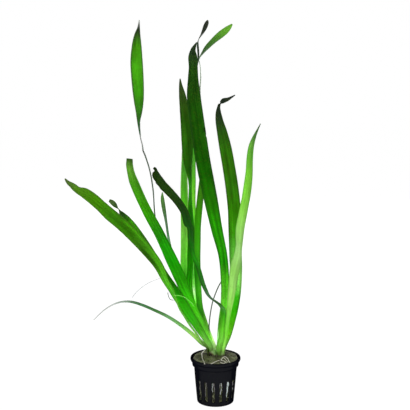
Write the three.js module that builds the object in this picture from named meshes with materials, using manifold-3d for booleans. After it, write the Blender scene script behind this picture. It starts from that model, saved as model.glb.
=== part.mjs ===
import * as THREE from 'three';
import { mergeVertices } from 'three/addons/utils/BufferGeometryUtils.js';
import Module from 'manifold-3d';

// A potted giant vallisneria: two rosettes of ribbon leaves, rooted in a plug of mineral wool, in a
// black net pot. Millimetres, +Z up, -Y towards the viewer, origin at the centre of the pot's base.

// Driving dimensions of the pot
const potHeight = 50;
const lipRadius = 27.5;
const lipHeight = 4.2;
const collarRadius = 25.6;
const collarHeight = 4.6;
const bodyTopRadius = 23.7;
const footRadius = 20.2;
const potWall = 1.2;
const floorThickness = 1.5;
const potSides = 48;
const slotCount = 16;
const slotWidth = 3.8;
const slotBottom = 5;
const slotTop = 27.8;
const slotPhase = THREE.MathUtils.degToRad(-7);
const floorSlotCount = 8;
const floorSlotWidth = 3.4;
const floorSlotInner = 8.5;
const floorSlotOuter = 16.5;
const cutterDepth = 12;

// Driving dimensions of the plug and the crowns
const gap = 0.3;
const plugTop = 49.2;
const plugMound = 2.3;
const plugLump = 0.45;
const plugSides = 24;
const crownDepth = 4;
const crownTop = 58;
const crownSink = 4;
const crownTaper = 0.82;
const crownSides = 16;

// The viewpoint that the leaves are laid out from: looking down a little, far in front of the rim's
// centre. A leaf point is given by how far across and up it is seen, on the plane through the rim's
// centre, and by its true place from front to back.
const viewPitch = THREE.MathUtils.degToRad(8);
const viewDistance = 900;
const viewAcross = -11.5;
const viewUp = 167;

const rimCentre = new THREE.Vector3(0, 0, potHeight);
const acrossAxis = new THREE.Vector3(1, 0, 0);
const upAxis = new THREE.Vector3(0, Math.sin(viewPitch), Math.cos(viewPitch));
const backAxis = new THREE.Vector3(0, -Math.cos(viewPitch), Math.sin(viewPitch));
const viewpoint = rimCentre.clone()
  .addScaledVector(acrossAxis, viewAcross)
  .addScaledVector(upAxis, viewUp)
  .addScaledVector(backAxis, viewDistance);

// Leaf blades: sheet thickness, the sag of the middle below the edges as a share of the width, and
// how far apart the cross-sections stand.
const bladeThickness = 0.7;
const channelShare = 0.06;
const sectionSpacing = 11.5;

// Well above the crowns the leaves fan out from front to back by this much more than listed.
const fanSpread = 1.35;
const fanStart = 45;
const fanFull = 170;

// Colours of the finishes
const potBlack = 0x15161c;
const woolBrown = 0x5c5636;
const crownPale = 0xa9bf7c;
const rootPale = 0xb9b48c;
const darkGreen = 0x1d4a10;
const blackGreen = 0x14300f;
const midGreen = 0x2b8a12;
const oliveGreen = 0x4a8216;
const lightGreen = 0x5cb236;
const brightGreen = 0x74cf38;

// Leaves, base first: seen across, seen up, depth, turn in degrees (0 shows the flat face, 90 the
// edge) and width.
const leaves = [
  {
    name: 'broad_left_leaf', color: oliveGreen, points: [
      [-9.8, 9.5, 1.8, 77, 5.6], [-14.4, 15.2, 0.3, 78, 6.8], [-20, 24, -2, 77, 7.4],
      [-27.5, 34, -5.5, 76, 7.8], [-34, 44, -10, 70, 8.4], [-38.5, 56, -14, 54, 9.4],
      [-42.5, 68, -17.5, 34, 10.6], [-49, 81, -21, 18, 12], [-61, 101, -26, 6, 13],
      [-76, 120, -30, 2, 13.4], [-94, 138.5, -34, 0, 13.7], [-116, 157.5, -38, 0, 13.6],
      [-138, 175, -42, 0, 12.9], [-150, 184, -44, 0, 11], [-159, 191, -45.5, 0, 8],
      [-166, 196, -46.5, 0, 1.4],
    ],
  },
  {
    name: 'twisted_tip_leaf', color: oliveGreen, points: [
      [-4.8, 9.5, 0, 0, 5], [-11, 20, -1.6, 0, 6.4], [-19, 32, -3.4, 0, 8], [-27.5, 45, -5, 0, 9.6],
      [-36, 58.5, -7, 0, 11], [-45, 73, -9, 4, 12], [-56, 89.5, -11.5, 5, 12.5],
      [-68, 107, -13.5, 5, 12.6], [-82, 126.5, -15.5, 5, 12.4], [-93.5, 143, -17.5, 10, 11],
      [-100, 151.8, -18.6, 22, 8.6], [-104.2, 158.2, -19.4, 52, 6], [-106.7, 162.7, -20, 88, 5],
      [-109.6, 167, -20.5, 122, 5.2], [-113.2, 170.6, -21, 146, 4.9], [-117.3, 173, -21.5, 156, 2],
    ],
  },
  {
    name: 'cut_tip_leaf', color: midGreen, points: [
      [-3.6, 9.5, 1.4, 0, 5.8], [-7.6, 21, 0.9, 0, 7], [-13.8, 37, 0, 4, 8.6],
      [-22.6, 56, -1.6, 10, 10], [-31.4, 73.5, -3.6, 18, 11.4], [-38, 86.7, -5.5, 25, 12],
      [-47.9, 109.8, -9, 32, 12.3], [-61, 136.2, -13, 36, 12.3], [-75.4, 162.6, -17, 38, 12],
      [-88.6, 191.2, -21, 38, 10.8], [-92.6, 202, -22, 35, 9.8], [-94.3, 211, -22.6, 30, 8.8],
      [-94.4, 218, -23, 28, 8.2],
    ],
  },
  {
    name: 'half_twisted_leaf', color: darkGreen, points: [
      [-2.6, 9.5, 2.5, 0, 5.8], [-6.5, 21, 2.7, 0, 7], [-12.3, 36, 3, 8, 8.4], [-18.6, 50, 3.3, 18, 10],
      [-24, 64, 3.5, 33, 11.6], [-27.6, 79, 3.5, 50, 12.8], [-28.4, 93, 3.4, 59, 13.2],
      [-27.3, 110, 3.4, 60, 13.3], [-27, 128, 3.6, 60, 13.2], [-27, 144, 3.8, 62, 12.8],
      [-27.6, 160, 4, 70, 11.6], [-28.4, 175, 4.3, 80, 10.2], [-28.4, 187, 4.4, 90, 9.6],
      [-28.4, 197, 4.5, 107, 10.2], [-30, 209, 4.7, 130, 11.4], [-31, 221, 4.9, 150, 12.6],
      [-31.2, 235, 5.1, 165, 13], [-32.4, 254, 5.4, 173, 12.2], [-34.4, 273, 5.8, 178, 10],
      [-36.6, 289, 6, 180, 6.6], [-38.3, 299, 6.2, 180, 3.2], [-38.9, 306, 6.3, 180, 0.9],
    ],
  },
  {
    name: 'tall_ribbon_leaf', color: midGreen, points: [
      [-4.6, 9.5, 3.6, 0, 4.6], [-9, 20.5, 4.1, 0, 5.4], [-15.5, 33, 4.9, 8, 6.2],
      [-23, 47, 6.8, 16, 7], [-30.8, 61, 9.2, 32, 7.6], [-38.5, 75, 11, 60, 8], [-46, 89, 12, 80, 8.5],
      [-53.4, 104, 12.4, 88, 8.5], [-60, 120, 12.8, 88, 8.5], [-65, 140, 13.3, 88, 8.5],
      [-67.3, 160, 14.5, 87, 8.5], [-69, 184, 15.8, 86, 8.5], [-72.3, 204, 16.8, 86, 8.5],
      [-77.5, 221, 17.7, 86, 8.8], [-82.6, 242, 18.9, 88, 9.5], [-84.2, 257, 19.6, 76, 10.4],
      [-84.5, 270, 20.2, 52, 11.4], [-84.9, 284, 21, 32, 12.6], [-86, 303, 21.8, 16, 13.1],
      [-87.2, 325, 22.6, 5, 12.6], [-86.8, 343, 23.3, 0, 10.2], [-85.9, 354, 23.8, 0, 6.6],
      [-84.7, 362, 24, 0, 2.8], [-84, 370.5, 24.2, 0, 0.8],
    ],
  },
  {
    name: 'pale_upright_leaf', color: lightGreen, points: [
      [-5.2, 9.5, 4.7, 0, 4.8], [-9.6, 21.5, 5.7, 0, 6], [-15.8, 35, 7.2, 4, 7],
      [-22.5, 49.5, 9.4, 11, 8], [-28, 64, 11.8, 22, 9.4], [-32, 80, 13.8, 36, 10.5],
      [-34, 98, 15.2, 45, 11], [-34.3, 120, 16, 47, 11], [-34.4, 142, 16.6, 48, 11],
      [-35, 166, 17, 52, 11], [-35.2, 190, 17.4, 56, 10.4], [-34.8, 213, 17.8, 58, 9],
      [-34, 234, 18.2, 60, 6.8], [-33.4, 250, 18.6, 60, 3.6], [-33.2, 258, 18.8, 60, 0.9],
    ],
  },
  {
    name: 'slim_back_leaf', color: midGreen, points: [
      [-6, 9.5, 5.8, 0, 4], [-11.2, 21, 7.2, 0, 4.6], [-18.5, 36, 9.8, 8, 5.1],
      [-26.2, 53.5, 13.2, 22, 5.6], [-34, 72, 19.6, 42, 6], [-41.5, 92, 25, 58, 6],
      [-47.5, 111, 29, 68, 6], [-51.8, 130, 32, 75, 6], [-54.2, 148, 34.6, 74, 6],
      [-56.4, 164, 36.6, 60, 5.8], [-57.8, 174.5, 37.6, 52, 4.6], [-58.5, 181, 38.2, 50, 0.9],
    ],
  },
  {
    name: 'bent_over_leaf', color: oliveGreen, points: [
      [-2.2, 9.5, 6.9, 0, 5.8], [-6.8, 19.5, 8.8, 0, 7], [-12.3, 33, 11.4, 7, 8],
      [-17, 51.5, 14.5, 18, 9.2], [-19.6, 73.5, 17.5, 32, 10.6], [-20.5, 95.5, 19.5, 45, 11.5],
      [-20.8, 117.5, 21, 51, 11.8], [-20.6, 139.5, 22.3, 53, 12], [-19.2, 161, 23.2, 54, 12],
      [-16.8, 181, 24, 56, 12], [-14.2, 201, 24.6, 59, 12], [-13, 224, 25, 64, 11.8],
      [-13.2, 247, 25, 72, 11.4], [-14.6, 270, 24.6, 81, 11], [-16.2, 291, 24, 87, 10.4],
      [-15.8, 308, 23.3, 89, 9.6], [-17.2, 320, 22.6, 91, 9], [-18.2, 327.5, 22, 94, 8.6],
      [-14.2, 335, 21, 106, 8.8], [-10, 340.8, 20, 119, 9], [-3, 348, 18.5, 126, 9.3],
      [4.6, 354.6, 17, 138, 9.6], [10.6, 359.4, 16, 145, 8.2], [15.2, 363.5, 15.2, 148, 5],
      [18, 366.5, 14.7, 150, 1.4],
    ],
  },
  {
    name: 'pale_back_leaf', color: lightGreen, points: [
      [-3.6, 9.5, 8, 0, 4.8], [-8, 22, 10.6, 0, 6], [-13.8, 39, 14.6, 7, 7], [-18.6, 57, 18.8, 17, 8],
      [-22, 78, 23.8, 34, 9.4], [-23.8, 100, 28.2, 47, 10], [-24, 125, 31.8, 52, 10],
      [-24, 150, 34.2, 54, 10], [-24.4, 173, 36.2, 55, 10], [-24.2, 195, 38, 53, 9.8],
      [-24, 214, 39.4, 55, 8.2], [-24.3, 233, 40.7, 58, 5], [-25.2, 246, 41.6, 60, 0.9],
    ],
  },
  {
    name: 'arching_slim_leaf', color: midGreen, points: [
      [-7, 9.6, 9.1, 0, 3.4], [-14.4, 15, 11.6, 10, 3.8], [-25, 24.2, 15, 26, 4.2],
      [-38, 34.4, 18.8, 44, 4.3], [-52, 43.6, 23, 58, 4.1], [-66, 50.8, 27, 62, 4],
      [-80, 56.8, 31, 60, 3.9], [-92, 60.3, 35, 63, 3.6], [-103, 60.4, 38.5, 73, 3],
      [-113, 57.2, 41.5, 81, 2.4], [-123.5, 50.5, 44.5, 84, 1.6], [-134, 40.5, 47, 86, 0.9],
    ],
  },
  {
    name: 'crossing_dark_leaf', color: blackGreen, points: [
      [4.8, 9.5, -0.3, 0, 5.6], [7.2, 22, -5, 10, 7.4], [9.2, 35, -9.8, 34, 9.2],
      [9.2, 47, -14.2, 55, 10.6], [6.4, 55.4, -17.6, 76, 11.3], [1.8, 60, -19.6, 86, 11.5],
      [-2.6, 63.6, -21.6, 88, 11.5], [-6.8, 69, -23.8, 84, 11.5], [-11, 78, -26.4, 72, 11.6],
      [-14.8, 89, -29, 62, 11.8], [-19.6, 102, -31.6, 55, 12], [-24.2, 116.5, -34, 50, 12],
      [-27.3, 132, -36.6, 48, 12], [-30.3, 146, -39.2, 46, 12], [-34.8, 160, -42, 43, 12],
      [-42.2, 172.2, -45.2, 40, 12], [-51, 182, -48.8, 37, 12], [-58.6, 190, -52.2, 36, 12],
      [-63.8, 197.6, -55, 38, 11], [-66.2, 204, -57, 50, 6.5], [-66.4, 208, -58, 55, 3],
    ],
  },
  {
    name: 'bright_leaf', color: brightGreen, points: [
      [7.4, 9.5, 1, 0, 5.4], [10, 20, -0.6, 0, 6.4], [12.5, 32, -2.8, 4, 7.6], [14.6, 46, -5.2, 13, 9],
      [16.6, 60.5, -8.2, 25, 10], [18.9, 76, -11.6, 35, 11], [21.5, 97, -16, 41, 11.8],
      [24.3, 120, -20.5, 43, 12], [27.4, 142, -24.4, 44, 12], [31, 160, -27.5, 45, 12],
      [34.6, 179, -30.6, 46, 11.8], [36.8, 200, -33.6, 49, 11.2], [37.7, 218, -36, 52, 10.4],
      [39.4, 231.5, -37.6, 56, 8.6], [43, 242.5, -39, 62, 6], [49.6, 256.5, -40.5, 70, 1],
    ],
  },
  {
    name: 'tall_dark_leaf', color: darkGreen, points: [
      [6, 9.5, 3.4, 0, 5.6], [6.8, 24, 2.4, 0, 6.8], [8.6, 40, 1.2, 4, 7.6], [10.2, 58, -0.4, 10, 8.4],
      [10.8, 84, -2.6, 22, 9.6], [8.8, 111, -4.6, 28, 11], [2.4, 139.5, -6.8, 26, 13.2],
      [-3.9, 168, -9, 15, 15], [-9, 192.3, -10.6, 8, 15.3], [-13.9, 216.5, -12, 5, 15.4],
      [-17.7, 240, -13, 5, 15.4], [-21, 264, -14, 5, 15.3], [-23.7, 288, -15, 6, 14.9],
      [-24.5, 306, -15.6, 10, 11.6], [-24.7, 319, -16, 15, 9.9], [-25.4, 330, -16.3, 20, 9],
      [-25.1, 338, -16.6, 25, 6], [-22.9, 343, -16.8, 35, 3.2], [-20.6, 346, -17, 45, 1],
    ],
  },
  {
    name: 'dark_slim_leaf', color: blackGreen, points: [
      [7.2, 9.5, 4.6, 0, 4.2], [8.2, 24, 4.4, 0, 5], [9.6, 42, 4, 4, 5.8], [10.8, 65, 3.3, 8, 6.4],
      [11, 90, 2.5, 12, 6.8], [8.3, 115, 1.5, 12, 7], [4, 140, 0.3, 10, 7], [-1.4, 166, -1.5, 8, 7],
      [-6.8, 190, -3, 8, 7], [-11.6, 216, -4.3, 8, 7], [-15.3, 240, -5.4, 8, 7],
      [-18.2, 264, -6.4, 8, 6.8], [-20.4, 290, -7.4, 20, 6.2], [-20.2, 310, -8.1, 48, 5.8],
      [-18.9, 324, -8.5, 70, 5.4], [-18.9, 334, -8.9, 72, 5.2], [-19.9, 343.5, -9.2, 80, 5],
      [-18.8, 348.6, -9.5, 90, 4.6], [-15.8, 353.8, -9.9, 106, 4.8], [-13.2, 359.4, -10.1, 130, 5.2],
      [-11.2, 364.4, -10.3, 146, 5.2], [-9.7, 368.4, -10.4, 150, 4], [-8.9, 371, -10.5, 150, 1.4],
    ],
  },
  {
    name: 'hooked_tip_leaf', color: oliveGreen, points: [
      [8.6, 9.5, 6, 0, 5.4], [13.4, 24, 7.3, 0, 7], [17.4, 39, 8.8, 4, 8.6], [20.4, 54, 10.3, 8, 10.2],
      [21.8, 70, 11.8, 11, 11.6], [22.2, 90, 13.4, 12, 12.8], [21.8, 112, 15.2, 12, 13.7],
      [21.5, 138, 17.4, 12, 14.2], [21, 162, 20, 12, 14.6], [18.8, 185, 22.3, 10, 14.5],
      [15.2, 207, 24.6, 8, 13.9], [11, 228.5, 26.5, 8, 12.8], [7, 246, 28, 9, 10.6],
      [3.9, 259.5, 29.2, 13, 8], [2.8, 269, 29.9, 27, 5.9], [3.5, 274.6, 30.3, 58, 4.9],
      [4.3, 278, 30.6, 84, 4.6], [6, 280.2, 31, 118, 5.1], [9, 282, 31.4, 150, 5.4],
      [13, 283.6, 31.9, 162, 3.8], [17.2, 285.4, 32.4, 166, 2.4], [21.6, 288, 33, 170, 0.9],
    ],
  },
];

// Round threads, root end first: seen across, seen up and depth.
const threads = [
  {
    name: 'slender_stalk', color: darkGreen, radius: 0.5, points: [
      [2, 9.5, 4.2], [-1.5, 20, 4.7], [-5.4, 30.5, 5.2], [-6.5, 40, 5.7], [-5.6, 50, 6.2],
      [-3.9, 60, 6.7], [-1, 69, 7.4], [2.5, 77.5, 8.2], [6.8, 84.5, 9], [11, 91, 9.8], [13.2, 97, 10.4],
    ],
  },
  {
    name: 'pale_runner', color: lightGreen, radius: 0.4, points: [
      [-45, 67.6, -23], [-40, 67.4, -22], [-35, 66, -19], [-30.5, 63, -16], [-26.5, 59.4, -13.4],
      [-23.5, 55.6, -11.4],
    ],
  },
  {
    name: 'dark_curl', color: blackGreen, radius: 0.4, points: [
      [-52.4, 70.8, -20], [-52, 68, -19.8], [-51, 65, -19.6], [-49.4, 63, -19.4], [-46, 62.2, -19.2],
    ],
  },
  {
    name: 'root_thread', color: rootPale, radius: 0.3, points: [
      [-92, 64.8, -12], [-87, 71, -13.5], [-80, 77.2, -15.5], [-72, 82, -18], [-65, 85, -20],
      [-61, 86.4, -21.2],
    ],
  },
];

// Pale roots on the plug, seen across and up.
const surfaceRoots = [
  [[-11.8, 6.6], [-14, 4.8], [-15.2, 2], [-14.4, -1.4], [-12.8, -4.6], [-11.4, -7]],
  [[-8.4, -5.6], [-5.6, -5], [-3.6, -6.2], [-1.2, -5.6], [1.4, -4.6], [3.8, -3.8]],
  [[6.6, -1.4], [8.6, -3], [10, -4.8], [8.6, -6.4], [5.6, -5.8], [4.4, -4.8]],
  [[9.4, 0.9], [11.6, 0.2], [13.2, -1.8], [14.6, -4.4], [15.2, -6.8]],
  [[10.8, -1.6], [12, -3.8], [13.2, -5.8], [11.6, -7.2], [8.8, -7.4]],
];
const rootRadius = 0.5;

const wasm = await Module();
wasm.setup();

// A closed three.js geometry as a solid that can be cut or joined.
function toSolid(geometry) {
  const bare = geometry.clone();
  bare.deleteAttribute('normal');
  bare.deleteAttribute('uv');
  const merged = mergeVertices(bare);
  const sheet = new wasm.Mesh({
    numProp: 3,
    vertProperties: new Float32Array(merged.attributes.position.array),
    triVerts: new Uint32Array(merged.index.array),
  });
  return new wasm.Manifold(sheet);
}

function toGeometry(solid) {
  const sheet = solid.getMesh();
  const geometry = new THREE.BufferGeometry();
  geometry.setAttribute('position', new THREE.BufferAttribute(new Float32Array(sheet.vertProperties), 3));
  geometry.setIndex(new THREE.BufferAttribute(new Uint32Array(sheet.triVerts), 1));
  geometry.computeVertexNormals();
  return geometry;
}

function finish(name, geometry, color, roughness = 0.5) {
  const material = new THREE.MeshStandardMaterial({ color, roughness, metalness: 0 });
  const mesh = new THREE.Mesh(geometry, material);
  mesh.name = name;
  return mesh;
}

// The direction from the viewpoint to a place seen across and up.
function sightLine(across, up) {
  return rimCentre.clone()
    .addScaledVector(acrossAxis, across)
    .addScaledVector(upAxis, up)
    .sub(viewpoint);
}

// The point on a sight line at a depth from front to back.
function atDepth(across, up, depth) {
  const line = sightLine(across, up);
  const fan = 1 + (fanSpread - 1) * THREE.MathUtils.smoothstep(up, fanStart, fanFull);
  return viewpoint.clone().addScaledVector(line, (depth * fan - viewpoint.y) / line.y);
}

// The uneven top of the plug, highest round the crowns.
function plugHeight(x, y) {
  const inward = 1 - Math.min(1, Math.hypot(x, y) / collarRadius);
  const mound = plugMound * inward * (2 - inward);
  const lump = plugLump * Math.sin(0.55 * x + 1) * Math.cos(0.47 * y);
  return plugTop + mound + lump * inward;
}

// The point on a sight line that lies on the plug, lifted by a root's radius.
function onPlug(across, up) {
  const line = sightLine(across, up);
  const place = viewpoint.clone();
  for (let i = 0; i < 8; i += 1) {
    const height = plugHeight(place.x, place.y) + rootRadius + gap;
    place.copy(viewpoint).addScaledVector(line, (height - viewpoint.z) / line.z);
  }
  return place;
}

// Rows of numbers along a smooth curve through the given rows, with each stretch cut into steps no
// longer than the spacing. Slopes at a row follow its two neighbours.
function smoothRows(rows, spacing) {
  const lengths = rows.slice(1).map((row, i) => Math.hypot(row[0] - rows[i][0], row[1] - rows[i][1]));
  const slopes = rows.map((row, i) => {
    const before = Math.max(i - 1, 0);
    const after = Math.min(i + 1, rows.length - 1);
    const span = lengths.slice(before, after).reduce((sum, length) => sum + length, 0);
    return row.map((_, k) => (rows[after][k] - rows[before][k]) / span);
  });
  const result = [rows[0]];
  for (let i = 0; i < lengths.length; i += 1) {
    const steps = Math.max(1, Math.round(lengths[i] / spacing));
    for (let j = 1; j <= steps; j += 1) {
      const t = j / steps;
      const bend = t * t * (3 - 2 * t);
      const leave = t * (1 - t) * (1 - t) * lengths[i];
      const arrive = t * t * (t - 1) * lengths[i];
      result.push(rows[i].map((value, k) => value * (1 - bend) + rows[i + 1][k] * bend
        + slopes[i][k] * leave + slopes[i + 1][k] * arrive));
    }
  }
  return result;
}

// A ribbon leaf: a thin box with its long side bent along the rows, turned and channelled.
function buildLeaf(leaf) {
  const rows = smoothRows(leaf.points, sectionSpacing);
  const centres = rows.map(([across, up, depth]) => atDepth(across, up, depth));
  const geometry = new THREE.BoxGeometry(1, 1, rows.length - 1, 2, 1, rows.length - 1);
  const places = geometry.attributes.position;
  for (let i = 0; i < places.count; i += 1) {
    const section = Math.round(places.getZ(i) + (rows.length - 1) / 2);
    const turn = THREE.MathUtils.degToRad(rows[section][3]);
    const width = rows[section][4];
    const centre = centres[section];
    const ahead = centres[Math.min(section + 1, rows.length - 1)];
    const behind = centres[Math.max(section - 1, 0)];
    const along = ahead.clone().sub(behind).normalize();
    const toViewer = viewpoint.clone().sub(centre).normalize();
    const flat = along.clone().cross(toViewer).normalize();
    const facing = flat.clone().cross(along);
    const side = flat.clone().multiplyScalar(Math.cos(turn)).addScaledVector(facing, Math.sin(turn));
    const normal = along.clone().cross(side);
    const sag = channelShare * width * (Math.abs(places.getX(i)) < 0.25 ? 1 : 0);
    const place = centre.clone()
      .addScaledVector(side, places.getX(i) * width)
      .addScaledVector(normal, places.getY(i) * bladeThickness + sag);
    if (section === 0) place.addScaledVector(along, (crownTop + gap - place.z) / along.z);
    places.setXYZ(i, place.x, place.y, place.z);
  }
  return finish(leaf.name, geometry, leaf.color, 0.45);
}

// A round thread along a smooth curve.
function buildTube(name, points, radius, color, sides, steps) {
  const section = new THREE.Shape();
  section.absarc(0, 0, radius, 0, 2 * Math.PI);
  const path = new THREE.CatmullRomCurve3(points);
  const geometry = new THREE.ExtrudeGeometry(section, {
    extrudePath: path, steps, curveSegments: sides, bevelEnabled: false,
  });
  return finish(name, geometry, color, 0.6);
}

// The pot's wall as one closed outline turned round the axis.
function potOutline() {
  const collarBottom = potHeight - lipHeight - collarHeight;
  const lipBottom = potHeight - lipHeight;
  return [
    [0, 0], [footRadius - 1, 0], [footRadius, 1], [bodyTopRadius, collarBottom - 0.6],
    [collarRadius - 0.3, collarBottom], [collarRadius, lipBottom - 0.8], [lipRadius - 0.9, lipBottom],
    [lipRadius, lipBottom + 1.3], [lipRadius - 0.1, potHeight - 1], [lipRadius - 0.9, potHeight],
    [lipRadius - 1.7, potHeight - 0.3], [collarRadius - potWall, lipBottom - 1],
    [collarRadius - potWall - 0.2, collarBottom + 0.8], [bodyTopRadius - potWall, collarBottom - 0.4],
    [footRadius - potWall, floorThickness], [0, floorThickness],
  ].map(([radius, height]) => new THREE.Vector2(radius, height));
}

function buildPot() {
  const wall = new THREE.LatheGeometry(potOutline(), potSides);
  wall.rotateX(Math.PI / 2);
  let pot = toSolid(wall);
  const slotHeight = slotTop - slotBottom;
  for (let i = 0; i < slotCount; i += 1) {
    const cutter = new THREE.BoxGeometry(slotWidth, cutterDepth, slotHeight);
    cutter.translate(0, -(footRadius + 1), slotBottom + slotHeight / 2);
    cutter.rotateZ(slotPhase + (2 * Math.PI * i) / slotCount);
    pot = pot.subtract(toSolid(cutter));
  }
  const floorSlotLength = floorSlotOuter - floorSlotInner;
  for (let i = 0; i < floorSlotCount; i += 1) {
    const cutter = new THREE.BoxGeometry(floorSlotWidth, floorSlotLength, 3 * floorThickness);
    cutter.translate(0, -(floorSlotInner + floorSlotLength / 2), 0);
    cutter.rotateZ(slotPhase + (2 * Math.PI * i) / floorSlotCount);
    pot = pot.subtract(toSolid(cutter));
  }
  return finish('net_pot', toGeometry(pot), potBlack, 0.35);
}

// Where the two plants are rooted, and the size of their short stems.
const crowns = [
  { name: 'left_crown', x: -4.5, halfWidth: 6.4, halfDepth: 6.4 },
  { name: 'right_crown', x: 7, halfWidth: 4.4, halfDepth: 5.4 },
];

// An oval stem stump, or the pocket for it when it is grown by a margin.
function crownBody({ x, halfWidth, halfDepth }, margin) {
  const bottom = plugTop - crownSink - margin;
  const height = crownTop - bottom;
  const grown = margin / halfWidth;
  const body = new THREE.CylinderGeometry(crownTaper + grown, 1 + grown, height, crownSides, 1);
  body.rotateX(Math.PI / 2);
  body.scale(halfWidth, halfDepth, 1);
  body.translate(x, crownDepth, bottom + height / 2);
  return body;
}

// The plug fills the pot, with an uneven top that rises round the crowns.
function buildMedium() {
  const radius = collarRadius - potWall - gap - 0.1;
  const collarBottom = potHeight - lipHeight - collarHeight;
  const outline = [
    [0, floorThickness + gap], [footRadius - potWall - gap - 0.1, floorThickness + gap],
    [bodyTopRadius - potWall - gap - 0.1, collarBottom - 0.6], [radius - 0.7, collarBottom + 1.6],
    [radius - 0.2, plugTop - 3], [radius - 0.4, plugTop - 0.8], [radius * 0.86, plugTop],
    [radius * 0.66, plugTop], [radius * 0.44, plugTop], [radius * 0.22, plugTop], [0, plugTop],
  ].map(([r, z]) => new THREE.Vector2(r, z));
  const geometry = new THREE.LatheGeometry(outline, plugSides);
  const places = geometry.attributes.position;
  geometry.rotateX(Math.PI / 2);
  for (let i = 0; i < places.count; i += 1) {
    const x = places.getX(i);
    const y = places.getY(i);
    if (places.getZ(i) > plugTop - 0.1) places.setZ(i, plugHeight(x, y));
  }
  let plug = toSolid(geometry);
  for (const crown of crowns) plug = plug.subtract(toSolid(crownBody(crown, gap)));
  return finish('growing_medium', toGeometry(plug), woolBrown, 0.95);
}

const plant = new THREE.Group();
plant.add(buildPot());
plant.add(buildMedium());
for (const crown of crowns) plant.add(finish(crown.name, crownBody(crown, 0), crownPale, 0.6));
for (const leaf of leaves) plant.add(buildLeaf(leaf));
for (const { name, points, radius, color } of threads) {
  const places = points.map(([across, up, depth]) => atDepth(across, up, depth));
  plant.add(buildTube(name, places, radius, color, 3, 2 * points.length));
}
surfaceRoots.forEach((points, i) => {
  const places = points.map(([across, up]) => onPlug(across, up));
  plant.add(buildTube(`surface_root_${i + 1}`, places, rootRadius, rootPale, 3, 10));
});

export default plant;
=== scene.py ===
import math
import random

import bmesh
import bpy
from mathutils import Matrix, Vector, noise


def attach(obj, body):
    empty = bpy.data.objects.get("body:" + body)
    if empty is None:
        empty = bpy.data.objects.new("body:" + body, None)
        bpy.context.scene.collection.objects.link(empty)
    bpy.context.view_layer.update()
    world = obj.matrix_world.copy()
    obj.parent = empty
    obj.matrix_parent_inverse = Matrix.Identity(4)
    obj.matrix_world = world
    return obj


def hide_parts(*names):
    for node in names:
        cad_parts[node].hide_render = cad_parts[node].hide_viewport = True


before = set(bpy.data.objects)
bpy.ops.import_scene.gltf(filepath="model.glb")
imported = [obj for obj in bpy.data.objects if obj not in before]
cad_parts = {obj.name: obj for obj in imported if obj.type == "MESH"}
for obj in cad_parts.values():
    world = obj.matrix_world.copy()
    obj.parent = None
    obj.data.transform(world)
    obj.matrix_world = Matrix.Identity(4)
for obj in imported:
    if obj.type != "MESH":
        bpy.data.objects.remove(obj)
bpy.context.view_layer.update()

# A potted giant vallisneria: two rosettes of ribbon leaves, rooted in a plug of mineral wool in a
# black net pot. Places are written in millimetres, and turned into metres where a mesh is made.
# Materials and the studio measure in metres.
mm = 0.001
scene = bpy.context.scene
scene.view_settings.view_transform = "Standard"


# Small helpers for node trees. Most give back the socket that holds their result.

def addNode(tree, kind, inputs=None, **settings):
    node = tree.nodes.new(kind)
    for key, value in settings.items():
        setattr(node, key, value)
    for key, value in (inputs or {}).items():
        if isinstance(value, bpy.types.NodeSocket):
            tree.links.new(value, node.inputs[key])
        else:
            node.inputs[key].default_value = value
    return node


def calculate(tree, operation, *values, clamp=False):
    inputs = dict(enumerate(values))
    return addNode(tree, "ShaderNodeMath", inputs, operation=operation, use_clamp=clamp).outputs[0]


def times(tree, product, *factors):
    for factor in factors:
        product = calculate(tree, "MULTIPLY", product, factor)
    return product


def plus(tree, total, *parts):
    for part in parts:
        total = calculate(tree, "ADD", total, part)
    return total


def remap(tree, value, low, high, toLow=0.0, toHigh=1.0, smooth=False):
    return addNode(tree, "ShaderNodeMapRange", {
        "Value": value, "From Min": low, "From Max": high, "To Min": toLow, "To Max": toHigh,
    }, interpolation_type="SMOOTHSTEP" if smooth else "LINEAR").outputs[0]


def offFrom(tree, value, middle):
    return calculate(tree, "ABSOLUTE", calculate(tree, "SUBTRACT", value, middle))


# 1 at the middle, falling to 0 at the half width on either side
def bell(tree, value, middle, half):
    return remap(tree, offFrom(tree, value, middle), half, 0.2 * half, smooth=True)


def splitVector(tree, vector):
    return addNode(tree, "ShaderNodeSeparateXYZ", {0: vector}).outputs


def objectPlace(tree):
    return addNode(tree, "ShaderNodeTexCoord").outputs["Object"]


def addNoise(tree, place, scale, detail, **more):
    inputs = {"Vector": place, "Scale": scale, "Detail": detail, **more}
    return addNode(tree, "ShaderNodeTexNoise", inputs).outputs[0]


def addBump(tree, height, strength, distance):
    inputs = {"Height": height, "Strength": strength, "Distance": distance}
    return addNode(tree, "ShaderNodeBump", inputs).outputs[0]


def tint(code):
    # a colour from its web code, as linear light
    parts = [int(code[i:i + 2], 16) / 255 for i in (0, 2, 4)]
    return [p / 12.92 if p <= 0.04045 else ((p + 0.055) / 1.055) ** 2.4 for p in parts] + [1.0]


def mixColour(tree, share, colour, code):
    inputs = {"Factor": share, 6: colour, 7: tint(code)}
    return addNode(tree, "ShaderNodeMix", inputs, data_type="RGBA").outputs[2]


def brighten(tree, colour, value):
    return addNode(tree, "ShaderNodeHueSaturation", {"Value": value, "Color": colour}).outputs[0]


# A blend through tinted stops, each with its place from 0 to 1.
def blendTints(tree, value, tints):
    ramp = addNode(tree, "ShaderNodeValToRGB", {"Fac": value})
    stops = ramp.color_ramp.elements
    while len(stops) < len(tints):
        stops.new(0.5)
    for stop, (place, code) in zip(stops, tints):
        stop.position = place
        stop.color = tint(code)
    return ramp.outputs[0]


def mixShaders(tree, share, first, second):
    return addNode(tree, "ShaderNodeMixShader", {"Fac": share, 1: first, 2: second}).outputs[0]


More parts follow.
